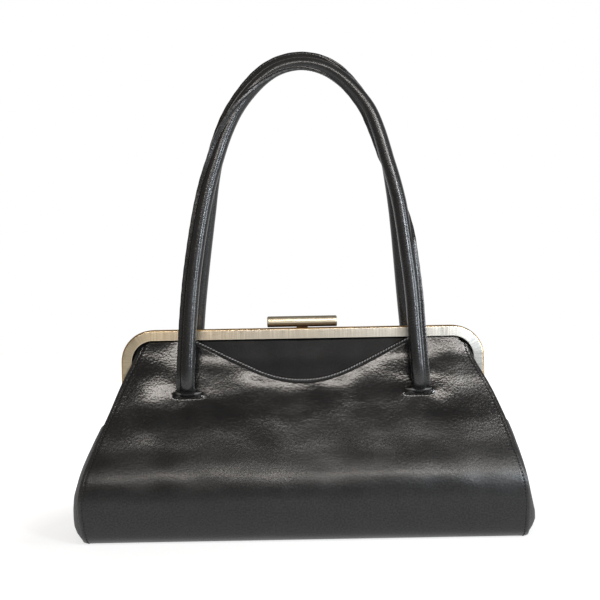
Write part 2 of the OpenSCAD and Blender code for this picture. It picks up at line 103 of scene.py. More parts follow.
def smooth_step(value, low, high):
    t = np.clip((value - low) / (high - low), 0, 1)
    return t * t * (3 - 2 * t)


# Side profile of the front, the same for the rear
BELLY_Y = BODY_DEPTH / 2 - BELLY_R
HEEL_ANGLE = math.asin((BELLY_Z - HEEL_R) / (BELLY_R - HEEL_R))
HEEL_Y = BELLY_Y + (BELLY_R - HEEL_R) * math.cos(HEEL_ANGLE)
MOUTH_Y = 7.35
MOUTH_IN, MOUTH_RISE = MOUTH_Y - BELLY_Y, FRAME_LOW_Z - BELLY_Z
SLOPE = math.asin(BELLY_R / math.hypot(MOUTH_IN, MOUTH_RISE)) - math.atan(MOUTH_IN / MOUTH_RISE)
LINE_C = BELLY_R + BELLY_Y * math.cos(SLOPE) + BELLY_Z * math.sin(SLOPE)
V_LEAN = math.cos(V_SLOPE) / math.cos(SLOPE)


def profile_arc(cy, cz, r, angles):
    """Depth, height and outward normal of points on an arc of the profile."""
    return [(cy + r * math.cos(a), cz + r * math.sin(a), math.cos(a), math.sin(a)) for a in angles]


def make_profile():
    """Lengths from the base up, and at each the depth, height and outward normal."""
    points = profile_arc(HEEL_Y, HEEL_R, HEEL_R, np.linspace(-math.pi / 2, -HEEL_ANGLE, 24))
    points += profile_arc(BELLY_Y, BELLY_Z, BELLY_R, np.linspace(-HEEL_ANGLE, SLOPE, 60)[1:])
    nd, nz = math.cos(SLOPE), math.sin(SLOPE)
    for z in np.linspace(points[-1][1], TUCK_Z + 2, 90)[1:]:
        points.append(((LINE_C - z * nz) / nd, z, nd, nz))
    points = np.array(points)
    return along(points[:, :2]), points


PROFILE_S, PROFILE = make_profile()


def at_profile(s):
    """Depth, height and outward normal at lengths s along the profile."""
    return [np.interp(s, PROFILE_S, PROFILE[:, k]) for k in range(4)]


def length_at(z):
    """Length along the profile at a height."""
    return np.interp(z, PROFILE[:, 1], PROFILE_S)


# Front outline: upright edges, a bend, then straight edges up to the frame's corners
EDGE_IN = INNER_CORNER_R - 0.3
EDGE_TOP = (CORNER_X + EDGE_IN * math.cos(LEAVE_ANGLE), CORNER_Z + EDGE_IN * math.sin(LEAVE_ANGLE))
BEND_X = BASE_HALF_W - SIDE_BEND_R
TO_TOP = (EDGE_TOP[0] - BEND_X, EDGE_TOP[1] - SIDE_TURN_Z)
EDGE_SLOPE = math.atan2(TO_TOP[1], TO_TOP[0]) - math.acos(SIDE_BEND_R / math.hypot(*TO_TOP))
BEND_TOP_X = BEND_X + SIDE_BEND_R * math.cos(EDGE_SLOPE)
BEND_TOP_Z = SIDE_TURN_Z + SIDE_BEND_R * math.sin(EDGE_SLOPE)

# How much wider than its plain form the leather is on each side, by height
SIDE_HEIGHTS = [0, 31, 42, 53, 63, 74, 84, 90, 95, 100, 106, 111, 117, 122, 128, 136]
SIDE_WIDER = {
    LEFT: [0.5, 2.4, 2.0, 1.4, 0.8, 0.6, 1.0, 1.1, 1.3, 1.6, 1.8, 1.8, 1.5, 1.0, 0.6, 0.6],
    RIGHT: [0.3, 0.6, 0.6, 0.4, 0.4, 1.4, 2.6, 2.9, 3.1, 3.2, 2.9, 2.4, 1.8, 1.3, 1.4, 3.2],
}


def half_width(z, sx=0):
    """Half width of the panels at a height, plain or with the left or right side's unevenness."""
    z = np.asarray(z, float)
    bend = BEND_X + np.sqrt(np.maximum(0, SIDE_BEND_R ** 2 - (z - SIDE_TURN_Z) ** 2))
    line = BEND_TOP_X - (z - BEND_TOP_Z) * math.tan(EDGE_SLOPE)
    width = np.where(z < SIDE_TURN_Z, BASE_HALF_W, np.where(z < BEND_TOP_Z, bend, line))
    return width + np.interp(z, SIDE_HEIGHTS, SIDE_WIDER[sx]) if sx else width


def v_height(x):
    """Height of the panel's V edge at x."""
    low = FRAME_LOW_Z - V_DIP
    arm_x, arm_z = V_R * math.sin(V_SLOPE), low + V_R * (1 - math.cos(V_SLOPE))
    x = np.abs(x)
    arc = low + V_R - np.sqrt(np.maximum(0, V_R ** 2 - np.minimum(x, arm_x) ** 2))
    return np.where(x < arm_x, arc, arm_z + (x - arm_x) * math.tan(V_SLOPE))


def panel_top(x):
    """Height at which the panel ends: at its V edge, or inside the frame's channel."""
    x = np.abs(x)
    r = INNER_CORNER_R + 2.0
    arc = CORNER_Z + np.sqrt(np.maximum(0, r ** 2 - np.clip(x - CORNER_X, 0, r) ** 2))
    reach = np.where(x < CORNER_X, FRAME_LOW_Z + 2.0, arc)
    return np.minimum(v_height(x), np.minimum(TUCK_Z - TUCK_GAP, reach))


# Meshes
def new_object(name, vertices, faces, material, uv, smooth=True):
    """An object from points in millimetres, with each point's UV place in millimetres."""
    mesh = bpy.data.meshes.new(name)
    mesh.from_pydata((np.asarray(vertices, float) * MM).tolist(), [], [list(map(int, f)) for f in faces])
    mesh.validate()
    layer = mesh.uv_layers.new(name="UVMap")
    index = np.zeros(len(mesh.loops), np.int32)
    mesh.loops.foreach_get("vertex_index", index)
    layer.data.foreach_set("uv", (np.asarray(uv, np.float32) * 0.01)[index].ravel())
    if smooth:
        mesh.polygons.foreach_set("use_smooth", np.ones(len(mesh.polygons), bool))
    mesh.materials.append(material)
    mesh.update()
    obj = bpy.data.objects.new(name, mesh)
    bpy.context.collection.objects.link(obj)
    return obj


def boundary(rows, cols):
    """Indexes of a grid's edge points, once round, and of the point inside each."""
    grid = np.arange(rows * cols).reshape(rows, cols)
    edge = np.concatenate([grid[0], grid[1:, -1], grid[-1, -2::-1], grid[-2:0:-1, 0]])
    return edge, np.clip(edge // cols, 1, rows - 2) * cols + np.clip(edge % cols, 1, cols - 2)


def shell(name, outer, inner, uv, material, side=FRONT, round_share=1.0):
    """A closed sheet between two grids (rows, cols, 3), with a rounded edge."""
    rows, cols, _ = outer.shape
    n, steps = rows * cols, 3
    o, i, flat_uv = outer.reshape(-1, 3), inner.reshape(-1, 3), uv.reshape(-1, 2)
    edge, near = boundary(rows, cols)
    m = len(edge)
    half = np.linalg.norm(o[edge] - i[edge], axis=1, keepdims=True) / 2
    normal = unit(o[edge] - i[edge])
    out = o[edge] - o[near]
    out = unit(out - normal * (out * normal).sum(1, keepdims=True))
    points, uvs, rings = [o, i], [flat_uv, flat_uv], [edge]
    for k in range(steps):
        a = math.pi / 2 - math.pi * (k + 1) / (steps + 1)
        middle = (o[edge] + i[edge]) / 2
        points.append(middle + normal * half * math.sin(a) + out * half * math.cos(a) * round_share)
        uvs.append(flat_uv[edge])
        rings.append(2 * n + k * m + np.arange(m))
    rings.append(edge + n)
    a = np.arange(n).reshape(rows, cols)[:-1, :-1].ravel()
    quads = np.stack([a, a + 1, a + cols + 1, a + cols], 1)
    faces = [quads, quads[:, ::-1] + n]
    for a, b in zip(rings[:-1], rings[1:]):
        faces.append(np.stack([np.roll(a, -1), a, b, np.roll(b, -1)], 1))
    faces = np.concatenate(faces)
    if side == REAR:
        faces = faces[:, ::-1]
    return new_object(name, np.concatenate(points), faces, material, np.concatenate(uvs))


def tube(name, rings, uv, material):
    """A closed skin through rings (n, m, 3) of points, with flat ends."""
    n, m, _ = rings.shape
    i, j = np.meshgrid(np.arange(n - 1), np.arange(m), indexing="ij")
    a, b = (i * m + j).ravel(), (i * m + (j + 1) % m).ravel()
    faces = np.stack([a, b, b + m, a + m], 1).tolist()
    faces += [list(range(m - 1, -1, -1)), [(n - 1) * m + k for k in range(m)]]
    return new_object(name, rings.reshape(-1, 3), faces, material, uv.reshape(-1, 2))


def lathe(name, points, centre_y, centre_z, material, steps):
    """Turned piece along X: points are (x, radius) from one end to the other."""
    x, r = np.array(points, float).T[:, :, None]
    a = turns(steps)
    rings = stack(x, centre_y + r * np.cos(a), centre_z + r * np.sin(a))
    obj = tube(name, rings, stack(x, a * 4), material)
    fix_normals(obj)
    split_edges(obj, 50)
    return obj


def plate(name, loops, x0, x1, material):
    """Flat plate across X, from an outline and its holes, given as (y, z)."""
    loops = [[Vector((y, z, 0)) for y, z in loop] for loop in loops]
    flat = [p for loop in loops for p in loop]
    n, start = len(flat), 0
    vertices = [(x, p.x, p.y) for x in (x0, x1) for p in flat]
    faces = []
    for t in tessellate_polygon(loops):
        a, b, c = [flat[k] for k in t]
        if (b - a).cross(c - a).z < 0:
            t = t[::-1]
        faces += [t[::-1], [n + k for k in t]]
    for loop in loops:
        m = len(loop)
        for k in range(m):
            a, b = start + k, start + (k + 1) % m
            faces.append([a, b, n + b, n + a])
        start += m
    obj = new_object(name, vertices, faces, material, [v[1:] for v in vertices], smooth=False)
    fix_normals(obj)
    return obj


def fix_normals(obj):
    """Turns all the faces of a closed mesh outwards."""
    bm = bmesh.new()
    bm.from_mesh(obj.data)
    bmesh.ops.recalc_face_normals(bm, faces=bm.faces)
    bm.to_mesh(obj.data)
    bm.free()


def bevel(obj, width, segments, angle):
    """Rounds an object's sharp edges."""
    m = obj.modifiers.new("bevel", "BEVEL")
    m.width, m.segments = width * MM, segments
    m.limit_method, m.angle_limit = "ANGLE", math.radians(angle)
    m.harden_normals = False


def split_edges(obj, angle):
    """Keeps an object's creases crisp under smooth shading."""
    obj.modifiers.new("creases", "EDGE_SPLIT").split_angle = math.radians(angle)


STITCH_PROFILE = np.array([(-0.46, 0.55), (-0.36, 0.9), (-0.15, 1.0), (0.15, 1.0), (0.36, 0.9), (0.46, 0.55)])
STITCH_SIDES, STITCH_FLAT = 7, 0.75


def capsules(name, places, ways, ups, length, radius, material):
    """Short rounded stitches, one at each place, lying along `ways`, with `ups` standing off the leather."""
    p, w, u = (np.asarray(v, float) for v in (places, ways, ups))
    w = unit(w)
    u = unit(u - w * (u * w).sum(1, keepdims=True))
    p, w, u, v = (vector[:, None, None] for vector in (p, w, u, np.cross(w, u)))
    a = turns(STITCH_SIDES)[:, None]
    t, r = STITCH_PROFILE.T[:, :, None, None]
    body = p + w * t * length + (u * np.cos(a) * STITCH_FLAT + v * np.sin(a)) * r * radius
    tips = p[:, 0] + w[:, 0] * np.array([[-0.5], [0.5]]) * length
    vertices = np.concatenate([body.reshape(len(places), -1, 3), tips], 1)
    uv = [(t * length, angle) for t, _ in STITCH_PROFILE for angle in a[:, 0]] + [(0, 0), (length, 0)]
    faces, last = [], (len(STITCH_PROFILE) - 1) * STITCH_SIDES
    around = [(j, (j + 1) % STITCH_SIDES) for j in range(STITCH_SIDES)]
    for i in range(0, last, STITCH_SIDES):
        faces += [[i + j, i + k, i + k + STITCH_SIDES, i + j + STITCH_SIDES] for j, k in around]
    for j, k in around:
        faces += [[k, j, last + STITCH_SIDES], [last + j, last + k, last + STITCH_SIDES + 1]]
    size = vertices.shape[1]
    faces = [[n * size + k for k in face] for n in range(len(places)) for face in faces]
    return new_object(name, vertices.reshape(-1, 3), faces, material, uv * len(places))


def path_stitches(name, points, normals, pitch, length, radius, material, lean=0.0):
    """Stitches along a line of points, evenly spaced, on the given normals. lean turns each one about its normal."""
    d = along(points)
    count = int(d[-1] / pitch)
    at = (np.arange(count) + 0.5) * d[-1] / count
    up = unit(on_line(at, d, normals))
    way = unit(on_line(at + 0.2, d, points) - on_line(at - 0.2, d, points))
    way = way * math.cos(lean) + np.cross(up, way) * math.sin(lean)
    return capsules(name, on_line(at, d, points), way, up, length, radius, material)


def join(name, objects):
    """Joins objects into one piece."""
    bpy.ops.object.select_all(action="DESELECT")
    for o in objects:
        o.select_set(True)
    bpy.context.view_layer.objects.active = objects[0]
    bpy.ops.object.join()
    objects[0].name = objects[0].data.name = name
    return objects[0]


def add_wear_and_sheen(obj, values):
    """Float attribute that the leather reads for its rubbed edges, and for the painted highlights on the handles'
    welts and the slit lips.
    """
    full = np.zeros(len(obj.data.vertices), np.float32)
    full[: len(values)] = values
    obj.data.attributes.new("wear_and_sheen", "FLOAT", "POINT").data.foreach_set("value", full)


# Materials
class Look:
    """Nodes of a material or of the world, with short ways to add them."""

    def __init__(self, owner, output="OutputMaterial"):
        owner.use_nodes = True
        self.owner, self.nodes, self.links = owner, owner.node_tree.nodes, owner.node_tree.links
        self.nodes.clear()
        self.out = self.add(output)

    def put(self, node, sockets):
        """Sets a node's sockets, each to a value or to the output of another node."""
        for key, value in sockets.items():
            if isinstance(value, bpy.types.NodeSocket):
                self.links.new(value, node.inputs[key])
            else:
                node.inputs[key].default_value = value

    def add(self, kind, sockets=None, **settings):
        node = self.nodes.new("ShaderNode" + kind)
        for key, value in settings.items():
            setattr(node, key, value)
        self.put(node, sockets or {})
        return node

    def maths(self, operation, *values):
        return self.add("Math", dict(enumerate(values)), operation=operation).outputs[0]

    def uv(self, x=1, y=1):
        """The UV map in units of 100 mm, scaled."""
        source = self.add("UVMap", uv_map="UVMap").outputs[0]
        return self.add("Mapping", {0: source, "Scale": (x, y, 1)}).outputs[0]

    def place(self, kind="Object"):
        return self.add("TexCoord").outputs[kind]

    def part_of(self, vector, letter):
        return self.add("SeparateXYZ", {0: vector}).outputs[letter]

    def noise(self, vector, scale, detail=2.0, roughness=0.5):
        sockets = {"Vector": vector, "Scale": scale, "Detail": detail, "Roughness": roughness}
        return self.add("TexNoise", sockets).outputs[0]

    def bands(self, vector, direction, scale, distortion, **sockets):
        sockets = {"Vector": vector, "Scale": scale, "Distortion": distortion, **sockets}
        return self.add("TexWave", sockets, wave_type="BANDS", bands_direction=direction).outputs[1]

    def ramp(self, value, stops):
        """Colours by value, from (position, colour) stops."""
        node = self.add("ValToRGB", {0: value})
        elements = node.color_ramp.elements
        for element, (position, colour) in ((elements[0], stops[0]), (elements[1], stops[-1])):
            element.position, element.color = position, (*colour, 1)
        for position, colour in stops[1:-1]:
            elements.new(position).color = (*colour, 1)
        return node.outputs[0]

    def remap(self, value, low, high, out_low, out_high):
        names = ("Value", "From Min", "From Max", "To Min", "To Max")
        return self.add("MapRange", dict(zip(names, (value, low, high, out_low, out_high)))).outputs[0]

    def mix(self, share, a, b, way="MIX"):
        """Two colours mixed, or multiplied."""
        a, b = ((*colour, 1) if isinstance(colour, tuple) else colour for colour in (a, b))
        return self.add("Mix", {0: share, 6: a, 7: b}, data_type="RGBA", blend_type=way).outputs[2]

    def bumps(self, *layers):
        """A chain of bumps: (height, strength, distance in millimetres)."""
        last = {}
        for height, strength, distance in layers:
            sockets = {"Strength": strength, "Distance": distance * MM, "Height": height, **last}
            last = {"Normal": self.add("Bump", sockets).outputs[0]}
        return last["Normal"]

    def surface(self, sockets):
        """Ends a material with a shader that has these sockets."""
        self.put(self.out, {0: self.add("BsdfPrincipled", sockets).outputs[0]})
        return self.owner


def new_look(name):
    return Look(bpy.data.materials.new(name))


def times(colour, share):
    return tuple(c * share for c in colour)


def leather(
    name, dark, light, rough, grain_mm, grain_depth, specular, stretch=1.0, wear_and_sheen=(0.05, 0.045, 0.04), low_dull=0.0
):
    """Polished leather: fine pebbled grain, faint mottling, creases, and a paler colour where the wear attribute is
    set: rubbed edges on the panels, and painted highlights on the handles' welts and the slit lips.
    Its lower part is duller by low_dull, where it rubs against things."""
    look = new_look(name)
    uv, grain_uv = look.uv(), look.uv(stretch)
    cell = 100 / grain_mm
    fine = look.noise(grain_uv, cell * 0.9, 2, 0.6)
    large = look.noise(uv, 2.6, 2, 0.5)
    pores = look.noise(grain_uv, cell * 1.1, 1, 0.5)
    colour = look.ramp(look.noise(uv, 7, 3, 0.6), [(0.32, dark), (0.7, light)])
    worn = look.add("Attribute", attribute_name="wear_and_sheen").outputs["Fac"]
    dulled = look.maths(
        "ADD", look.remap(fine, 0.3, 0.7, -0.03, 0.03), look.remap(large, 0.3, 0.7, rough - 0.03, rough + 0.05)
    )
    low = look.remap(look.part_of(look.place(), "Z"), 0.050, 0.085, low_dull, 0.0)
    cells = look.add("TexVoronoi", {"Vector": grain_uv, "Scale": cell, "Smoothness": 0.3}, feature="SMOOTH_F1")
    creases = look.noise(uv, 30, 4, 0.65)
    return look.surface({
        "Base Color": look.mix(worn, colour, wear_and_sheen),
        "Roughness": look.maths("ADD", dulled, low),
        "Specular IOR Level": look.remap(pores, 0.36, 0.64, specular * 0.86, specular * 1.14),
        "Normal": look.bumps(
            (creases, 1.0, 0.05), (cells.outputs["Distance"], 1.0, grain_depth), (fine, 1.0, grain_depth * 0.7)
        ),
    })


def brushed_metal(name, colour, worn, rough, lines, anisotropic=0.6, depth=1.0, uneven=1.0, painted_light_tones=None, dark=None):
    """Metal with strokes across the strip that UV x runs along. Its tint from left to right is painted light: warmer
    and darker to the left, whiter to the right where the light falls. dark is painted shade on faces that look down or
    straight up, standing in for the dark reflections there."""
    look = new_look(name)
    fine = look.noise(look.uv(90, 4), 1.0, 3, 0.6)
    wide = look.noise(look.uv(22, 1.5), 1.0, 2, 0.5)
    patina = look.remap(look.noise(look.uv(), 5, 3, 0.6), 0.45, 0.75, 0.0, 0.35)
    strokes = look.ramp(fine, [(0.3, times(colour, 1 - 0.20 * lines)), (0.7, colour)])
    base = look.mix(patina, strokes, worn)
    # Painted light: the frame is tinted warmer and darker to the left and whiter to the right, where the light falls.
    if painted_light_tones:
        across = look.remap(look.part_of(look.place(), "X"), -0.127, 0.127, 0.0, 1.0)
        base = look.mix(1.0, base, look.ramp(across, painted_light_tones), "MULTIPLY")
    # Painted shade: faces that look down or straight up get a darker colour, in place of the dark reflections there.
    if dark:
        up = look.remap(look.part_of(look.place("Normal"), "Z"), -1.0, 1.0, 0.0, 1.0)
        painted_shade_greys = [(0.0, 1), (0.36, 0.9), (0.44, 0), (0.93, 0), (0.97, 0.8)]
        base = look.mix(look.ramp(up, [(position, (grey,) * 3) for position, grey in painted_shade_greys]), base, dark)
    tangent = look.add("Tangent", direction_type="UV_MAP", uv_map="UVMap")
    return look.surface({
        "Base Color": base,
        "Metallic": 1.0,
        "Roughness": look.maths(
            "ADD", look.remap(fine, 0.25, 0.75, -0.06 * uneven, 0.07 * uneven),
            look.remap(wide, 0.3, 0.7, rough - 0.03 * uneven, rough + 0.03 * uneven),
        ),
        "Anisotropic": anisotropic,
        "Anisotropic Rotation": 0.25,
        "Tangent": tangent.outputs[0],
        "Normal": look.bumps((fine, 0.12 * depth, 0.012), (wide, 0.12 * depth, 0.03)),
    })


def plain_metal(name, colour, rough):
    """Metal that isn't brushed, with faint handling marks."""
    look = new_look(name)
    marks = look.noise(look.place(), 150, 2, 0.5)
    return look.surface({
        "Base Color": look.ramp(marks, [(0.35, times(colour, 0.86)), (0.7, colour)]),
        "Metallic": 1.0,
        "Roughness": look.remap(marks, 0.3, 0.7, rough - 0.06, rough + 0.06),
        "Normal": look.bumps((marks, 0.12, 0.006)),
    })


def thread_material(name, colour, rough):
    """Twisted thread."""
    look = new_look(name)
    twist = look.bands(look.uv(900, 60), "DIAGONAL", 0.35, 1.0)
    return look.surface({
        "Base Color": look.ramp(twist, [(0.0, times(colour, 0.5)), (1.0, colour)]),
        "Roughness": rough,
        "Normal": look.bumps((twist, 0.5, 0.1)),
    })


def woven(name, dark, light, pitch_mm):
    """Plain weave from two crossed sets of bands."""
    look = new_look(name)
    uv = look.uv(100 / pitch_mm, 100 / pitch_mm)
    bands = [look.bands(uv, direction, 0.314, 0.6, **{"Detail Scale": 2.0}) for direction in ("X", "Y")]
    weave = look.maths("MULTIPLY", *bands)
    cloud = look.noise(look.uv(), 9, 3, 0.6)
    return look.surface({
        "Base Color": look.ramp(look.maths("MULTIPLY_ADD", cloud, 0.5, weave), [(0.2, dark), (1.0, light)]),
        "Roughness": 0.7,
        "Sheen Weight": 0.3,
        "Normal": look.bumps((weave, 0.6, 0.12)),
    })


def fibrous(name, dark, light, scale):
    """Board, paper and cotton: short fibres and soft mottling."""
    look = new_look(name)
    stretched = look.add("Mapping", {0: look.place(), "Scale": (1, 3, 1)}).outputs[0]
    fibres = look.noise(stretched, scale, 4, 0.7)
    return look.surface({
        "Base Color": look.ramp(fibres, [(0.3, dark), (0.7, light)]),
        "Roughness": 0.85,
        "Normal": look.bumps((fibres, 0.4, 0.2)),
    })


BLACK = leather(
    "black_leather", (0.0050, 0.0050, 0.0053), (0.0100, 0.0099, 0.0101), 0.165, 1.45, 0.036, 0.5,
    wear_and_sheen=(0.09, 0.085, 0.08), low_dull=0.17,
)
GUSSET_BLACK = leather("gusset_leather", (0.008, 0.008, 0.0085), (0.014, 0.0138, 0.014), 0.50, 1.2, 0.05, 0.2)
YOKE_BLACK = leather("yoke_leather", (0.0060, 0.0060, 0.0065), (0.0105, 0.0105, 0.0111), 0.42, 1.1, 0.04, 0.12)
# Pale grey leather for the slits' lower lips: a painted highlight for the light along their tops, on leather that is
# black.
LIP_PAINTED_HIGHLIGHT = leather("lip_leather_painted_highlight", (0.15, 0.15, 0.15), (0.24, 0.235, 0.23), 0.42, 1.1, 0.04, 0.5)
# Its pale wear colour is a painted highlight along the handle welts' ridges.
HANDLE_BLACK = leather(
    "handle_leather", (0.0130, 0.0130, 0.0134), (0.0210, 0.0208, 0.0212), 0.25, 1.5, 0.045, 0.55, 1.6,
    wear_and_sheen=(0.20, 0.20, 0.20),
)
THREAD = thread_material("black_thread", (0.004, 0.004, 0.004), 0.65)
# A pale thread for the V's overcast cord, made paler still as a painted highlight along the lit fold.
CORD_THREAD_PAINTED_HIGHLIGHT = thread_material("edge_thread_painted_highlight", (0.42, 0.42, 0.425), 0.4)
# Painted light along the frame: warmer and darker to the left, whiter to the right where the light falls.
FRAME_PAINTED_LIGHT_TONES = [
    (0.0, (0.98, 0.84, 0.60)), (0.09, (0.90, 0.75, 0.53)), (0.36, (0.76, 0.69, 0.57)), (0.52, (0.75, 0.69, 0.58)),
    (0.88, (0.90, 0.89, 0.83)), (1.0, (0.93, 0.92, 0.87)),
]
FRAME_FACE_METAL = brushed_metal("frame_brushed", (0.96, 0.96, 0.96), (0.88, 0.85, 0.80), 0.36, 1.2, painted_light_tones=FRAME_PAINTED_LIGHT_TONES)
FRAME_EDGE_METAL = plain_metal("frame_edge", (0.66, 0.44, 0.19), 0.3)
# The clasp bar's dark bands at its top and bottom are painted shade, standing in for dark reflections.
BAR_METAL = brushed_metal(
    "clasp_brushed", (0.84, 0.76, 0.58), (0.70, 0.60, 0.42), 0.36, 0.7,
    anisotropic=0.5, depth=0.05, uneven=0.25, dark=(0.10, 0.06, 0.03),
)
# Painted shade: the clasp post is near black for the shadow it stands in under the bar.
POST_PAINTED_SHADE_METAL = plain_metal("clasp_post", (0.07, 0.04, 0.022), 0.35)
PIN_METAL = plain_metal("pin_metal", (0.70, 0.58, 0.38), 0.3)
LINING = woven("lining_cloth", (0.10, 0.08, 0.065), (0.22, 0.18, 0.15), 0.55)
BOARD = fibrous("grey_board", (0.34, 0.27, 0.18), (0.5, 0.42, 0.3), 700)
PAPER = fibrous("paper_cord", (0.48, 0.38, 0.25), (0.66, 0.56, 0.42), 900)
COTTON = fibrous("cotton_cord", (0.62, 0.56, 0.44), (0.8, 0.75, 0.64), 1200)


# Relief of the leather
BELLY_S, MOUTH_S = length_at(48.5), length_at(FRAME_LOW_Z)
# Waves over the panels: seed, count, longest, shortest, height
PANEL_WAVES = [(11, 9, 150, 55, 0.40), (31, 14, 50, 22, 0.20), (51, 22, 18, 9, 0.035)]
# Swells below the frame: middle x and z, half widths, height
SWELLS = [(36, 116, 30, 9, 0.5), (-40, 114, 26, 8, 0.35), (100, 113, 15, 13, 0.95), (-104, 113, 15, 13, 0.8)]
# How far the leather stands out at a handle's end, by height above the slit's middle
SLIT_PUCKER = ([-4.9, -4.4, -3.5, -2.0, -1.0, 7], [0, 0.3, 3.0, 3.1, 0.1, 0])
SEAM_IN, SEAM_PITCH, V_SEAM, V_PITCH = 2.65, 2.3, 1.7, 2.1


def waves(x, z, seed, count, longest, shortest, amount):
    """Smooth unevenness from a few crossed waves, the same each run."""
    r = random.Random(seed)
    total = np.zeros(np.broadcast(x, z).shape)
    for _ in range(count):
        length = shortest * (longest / shortest) ** r.random()
        way = r.uniform(-0.6, 0.6) + (math.pi / 2 if r.random() < 0.35 else 0)
        phase = r.uniform(0, 2 * math.pi)
        total += r.uniform(0.5, 1.0) * np.sin(2 * math.pi * (x * math.sin(way) + z * math.cos(way)) / length + phase)
    return amount * total / math.sqrt(count)


def relief(x, s, side, slits=True):
    """How far the leather stands off its plain form, in millimetres. slits adds the puckers at the handles' slits."""
    x = np.asarray(x, float)
    z = at_profile(s)[1]
    lower = np.clip(z / 30, 0, 1)
    # The hollow between the belly and the mouth
    t = np.clip((s - BELLY_S) / (MOUTH_S - BELLY_S), 0, 1)
    drift = 0.055 * np.sin(x / 23 + 0.8) + 0.035 * np.sin(x / 9.3 + side) - 0.05 * np.cos(x / 47)
    t = t + drift * 4 * t * (1 - t)
    h = -2.2 * np.sin(math.pi * t / 1.3) ** 2 * (1 - np.clip((t - 0.82) / 0.18, 0, 1) ** 2)
    for seed, *sizes in PANEL_WAVES:
        h = h + waves(x, z, seed + side, *sizes) * lower
    # The bend over the belly, and the swell below the V
    band = 0.5 + 0.5 * np.sin(x / 17.0 + 0.6 * side) * np.cos(x / 41.0)
    h = h + 0.13 * bell(z - 59, 6.0) * (0.1 + 0.9 * band) * (1 + x / 250)
    h = h - np.clip(0.74 - 0.0008 * x, 0.64, 0.86) * np.tanh((z - 56) / 7.0) * lower
    below_v = np.maximum(v_height(x) - z, 0) * V_LEAN
    h = h + 0.50 * bell(below_v, 6.5) * np.clip((V_HALF_W - np.abs(x)) / 20, 0, 1)
    for sx in ENDS:
        dx, dz = x - sx * HANDLE_SPAN, z - SLIT_Z
        away, angle = np.hypot(dx, dz * 1.3), np.arctan2(dz, dx)
        h = h - 0.35 * bell(away, 24) + 0.09 * np.cos(angle * 5 + sx) * bell(away - 14, 7)
        if slits:
            h = h + np.interp(dz, *SLIT_PUCKER) / (1 + np.exp((np.abs(dx) - 7.9) / 0.8))
        edge = np.maximum(half_width(z, sx) - sx * x, 0)
        h = h - 1.1 * np.exp(-edge / 10) * lower
    for cx, cz, wx, wz, height in SWELLS:
        h = h + height * bell(x - cx, wx) * bell(z - cz, wz)
    return h


def seam_relief(distance, s):
    """Groove of a seam at a distance from an edge, with the leather puffed a little between the stitches."""
    between = 0.5 + 0.5 * np.cos(2 * math.pi * s / SEAM_PITCH)
    groove, puff = -0.09 * bell(distance - SEAM_IN, 0.55), 0.10 * bell(distance - SEAM_IN - 1.6, 1.5) * between
    return groove + puff - 0.35 * bell(distance, 0.7)


def v_relief(distance):
    """Folded V edge: a raised fold, then the groove of its stitches."""
    return 0.62 * bell(distance - 0.6, 0.6) - 0.55 * bell(distance - V_SEAM, 0.40)


def panel_point(x, s, side, off=0.0, extra=0.0):
    """Points at x and length s, off inside the leather's outer side."""
    depth, z, nd, nz = at_profile(s)
    stand = relief(x, s, side) + extra - off
    return stack(x, side * (depth + nd * stand), z + nz * stand)


def on_leather(x, s, side, stand=0.0):
    """Points that stand off the leather, with its plain outward normal and the direction up along it."""
    nd, nz = at_profile(s)[2:]
    return panel_point(x, s, side, 0.0, stand), stack(0, side * nd, nz), stack(0, -side * nz, nd)


# Columns beside a panel's edges and rows below its top, in millimetres from them
EDGE_COLUMNS = [0.0, 0.35, 0.75, 1.2, 1.65, 2.05, 2.4, 2.65, 2.9, 3.25, 3.7, 4.3, 5.1, 6.2, 7.6]
TOP_ROWS = [6.0, 5.2, 4.5, 3.9, 3.4, 2.95, 2.55, 2.2, 1.95, 1.7, 1.45, 1.2, 0.95, 0.7, 0.45, 0.2, 0.0]


def column_lines(inset, middle_count):
    """Columns of a panel from the left to the right, as functions from the height to x."""
    def beside(sx, d):
        return lambda z: sx * (half_width(z, sx) - inset - d)

    def between(c):
        left, right = (beside(sx, EDGE_COLUMNS[-1]) for sx in ENDS)
        return lambda z: (left(z) + right(z)) / 2 + c * (right(z) - left(z)) / 2

    middle = [between(c) for c in np.linspace(-1, 1, middle_count + 2)[1:-1]]
    return [beside(LEFT, d) for d in EDGE_COLUMNS] + middle + [beside(RIGHT, d) for d in reversed(EDGE_COLUMNS)]


def top_length(line, top_of_x):
    """Length at which a column meets the top edge."""
    s = np.linspace(40.0, PROFILE_S[-1], 1500)
    z = at_profile(s)[1]
    over = z - top_of_x(line(z))
    k = int(np.argmax(over > 0))
    return s[k - 1] + over[k - 1] / (over[k - 1] - over[k]) * (s[k] - s[k - 1])


def panel_places(inset, middle_count, row_count, top_of_x, s_start, top_rows):
    """Grid of places x and lengths s over the front, row by row from the base up."""
    lines = column_lines(inset, middle_count)
    tops = np.array([top_length(line, top_of_x) for line in lines])
    lower = np.linspace(s_start, tops - top_rows[0], row_count)[:-1]
    s = np.concatenate([lower, tops - np.array(top_rows)[:, None]])
    columns = zip(lines, at_profile(s)[1].T)
    return np.stack([line(z) for line, z in columns], 1), s


def layer(name, side, x, s, v, off, thickness, material, swell=0.0, seams=0.0):
    """A sheet that follows the front, off inside the leather's outer side. v is its UV place up the bag."""
    outer = panel_point(x, s, side, off, swell + seams)
    inner = panel_point(x, s, side, off + thickness, swell)
    return shell(name, outer, inner, stack(x + 200, v), material, side)


def fold(obj, side):
    """Bakes the object's transform into its points. The line about which the leather would bend as a frame half opens,
    the same for every layer, is worked out but not used.
    """
    start, end = (0, side * 44 * MM, 50 * MM), (0, side * 56.9 * MM, 82.24 * MM)
    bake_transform(obj)
    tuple(start)
    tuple(end)


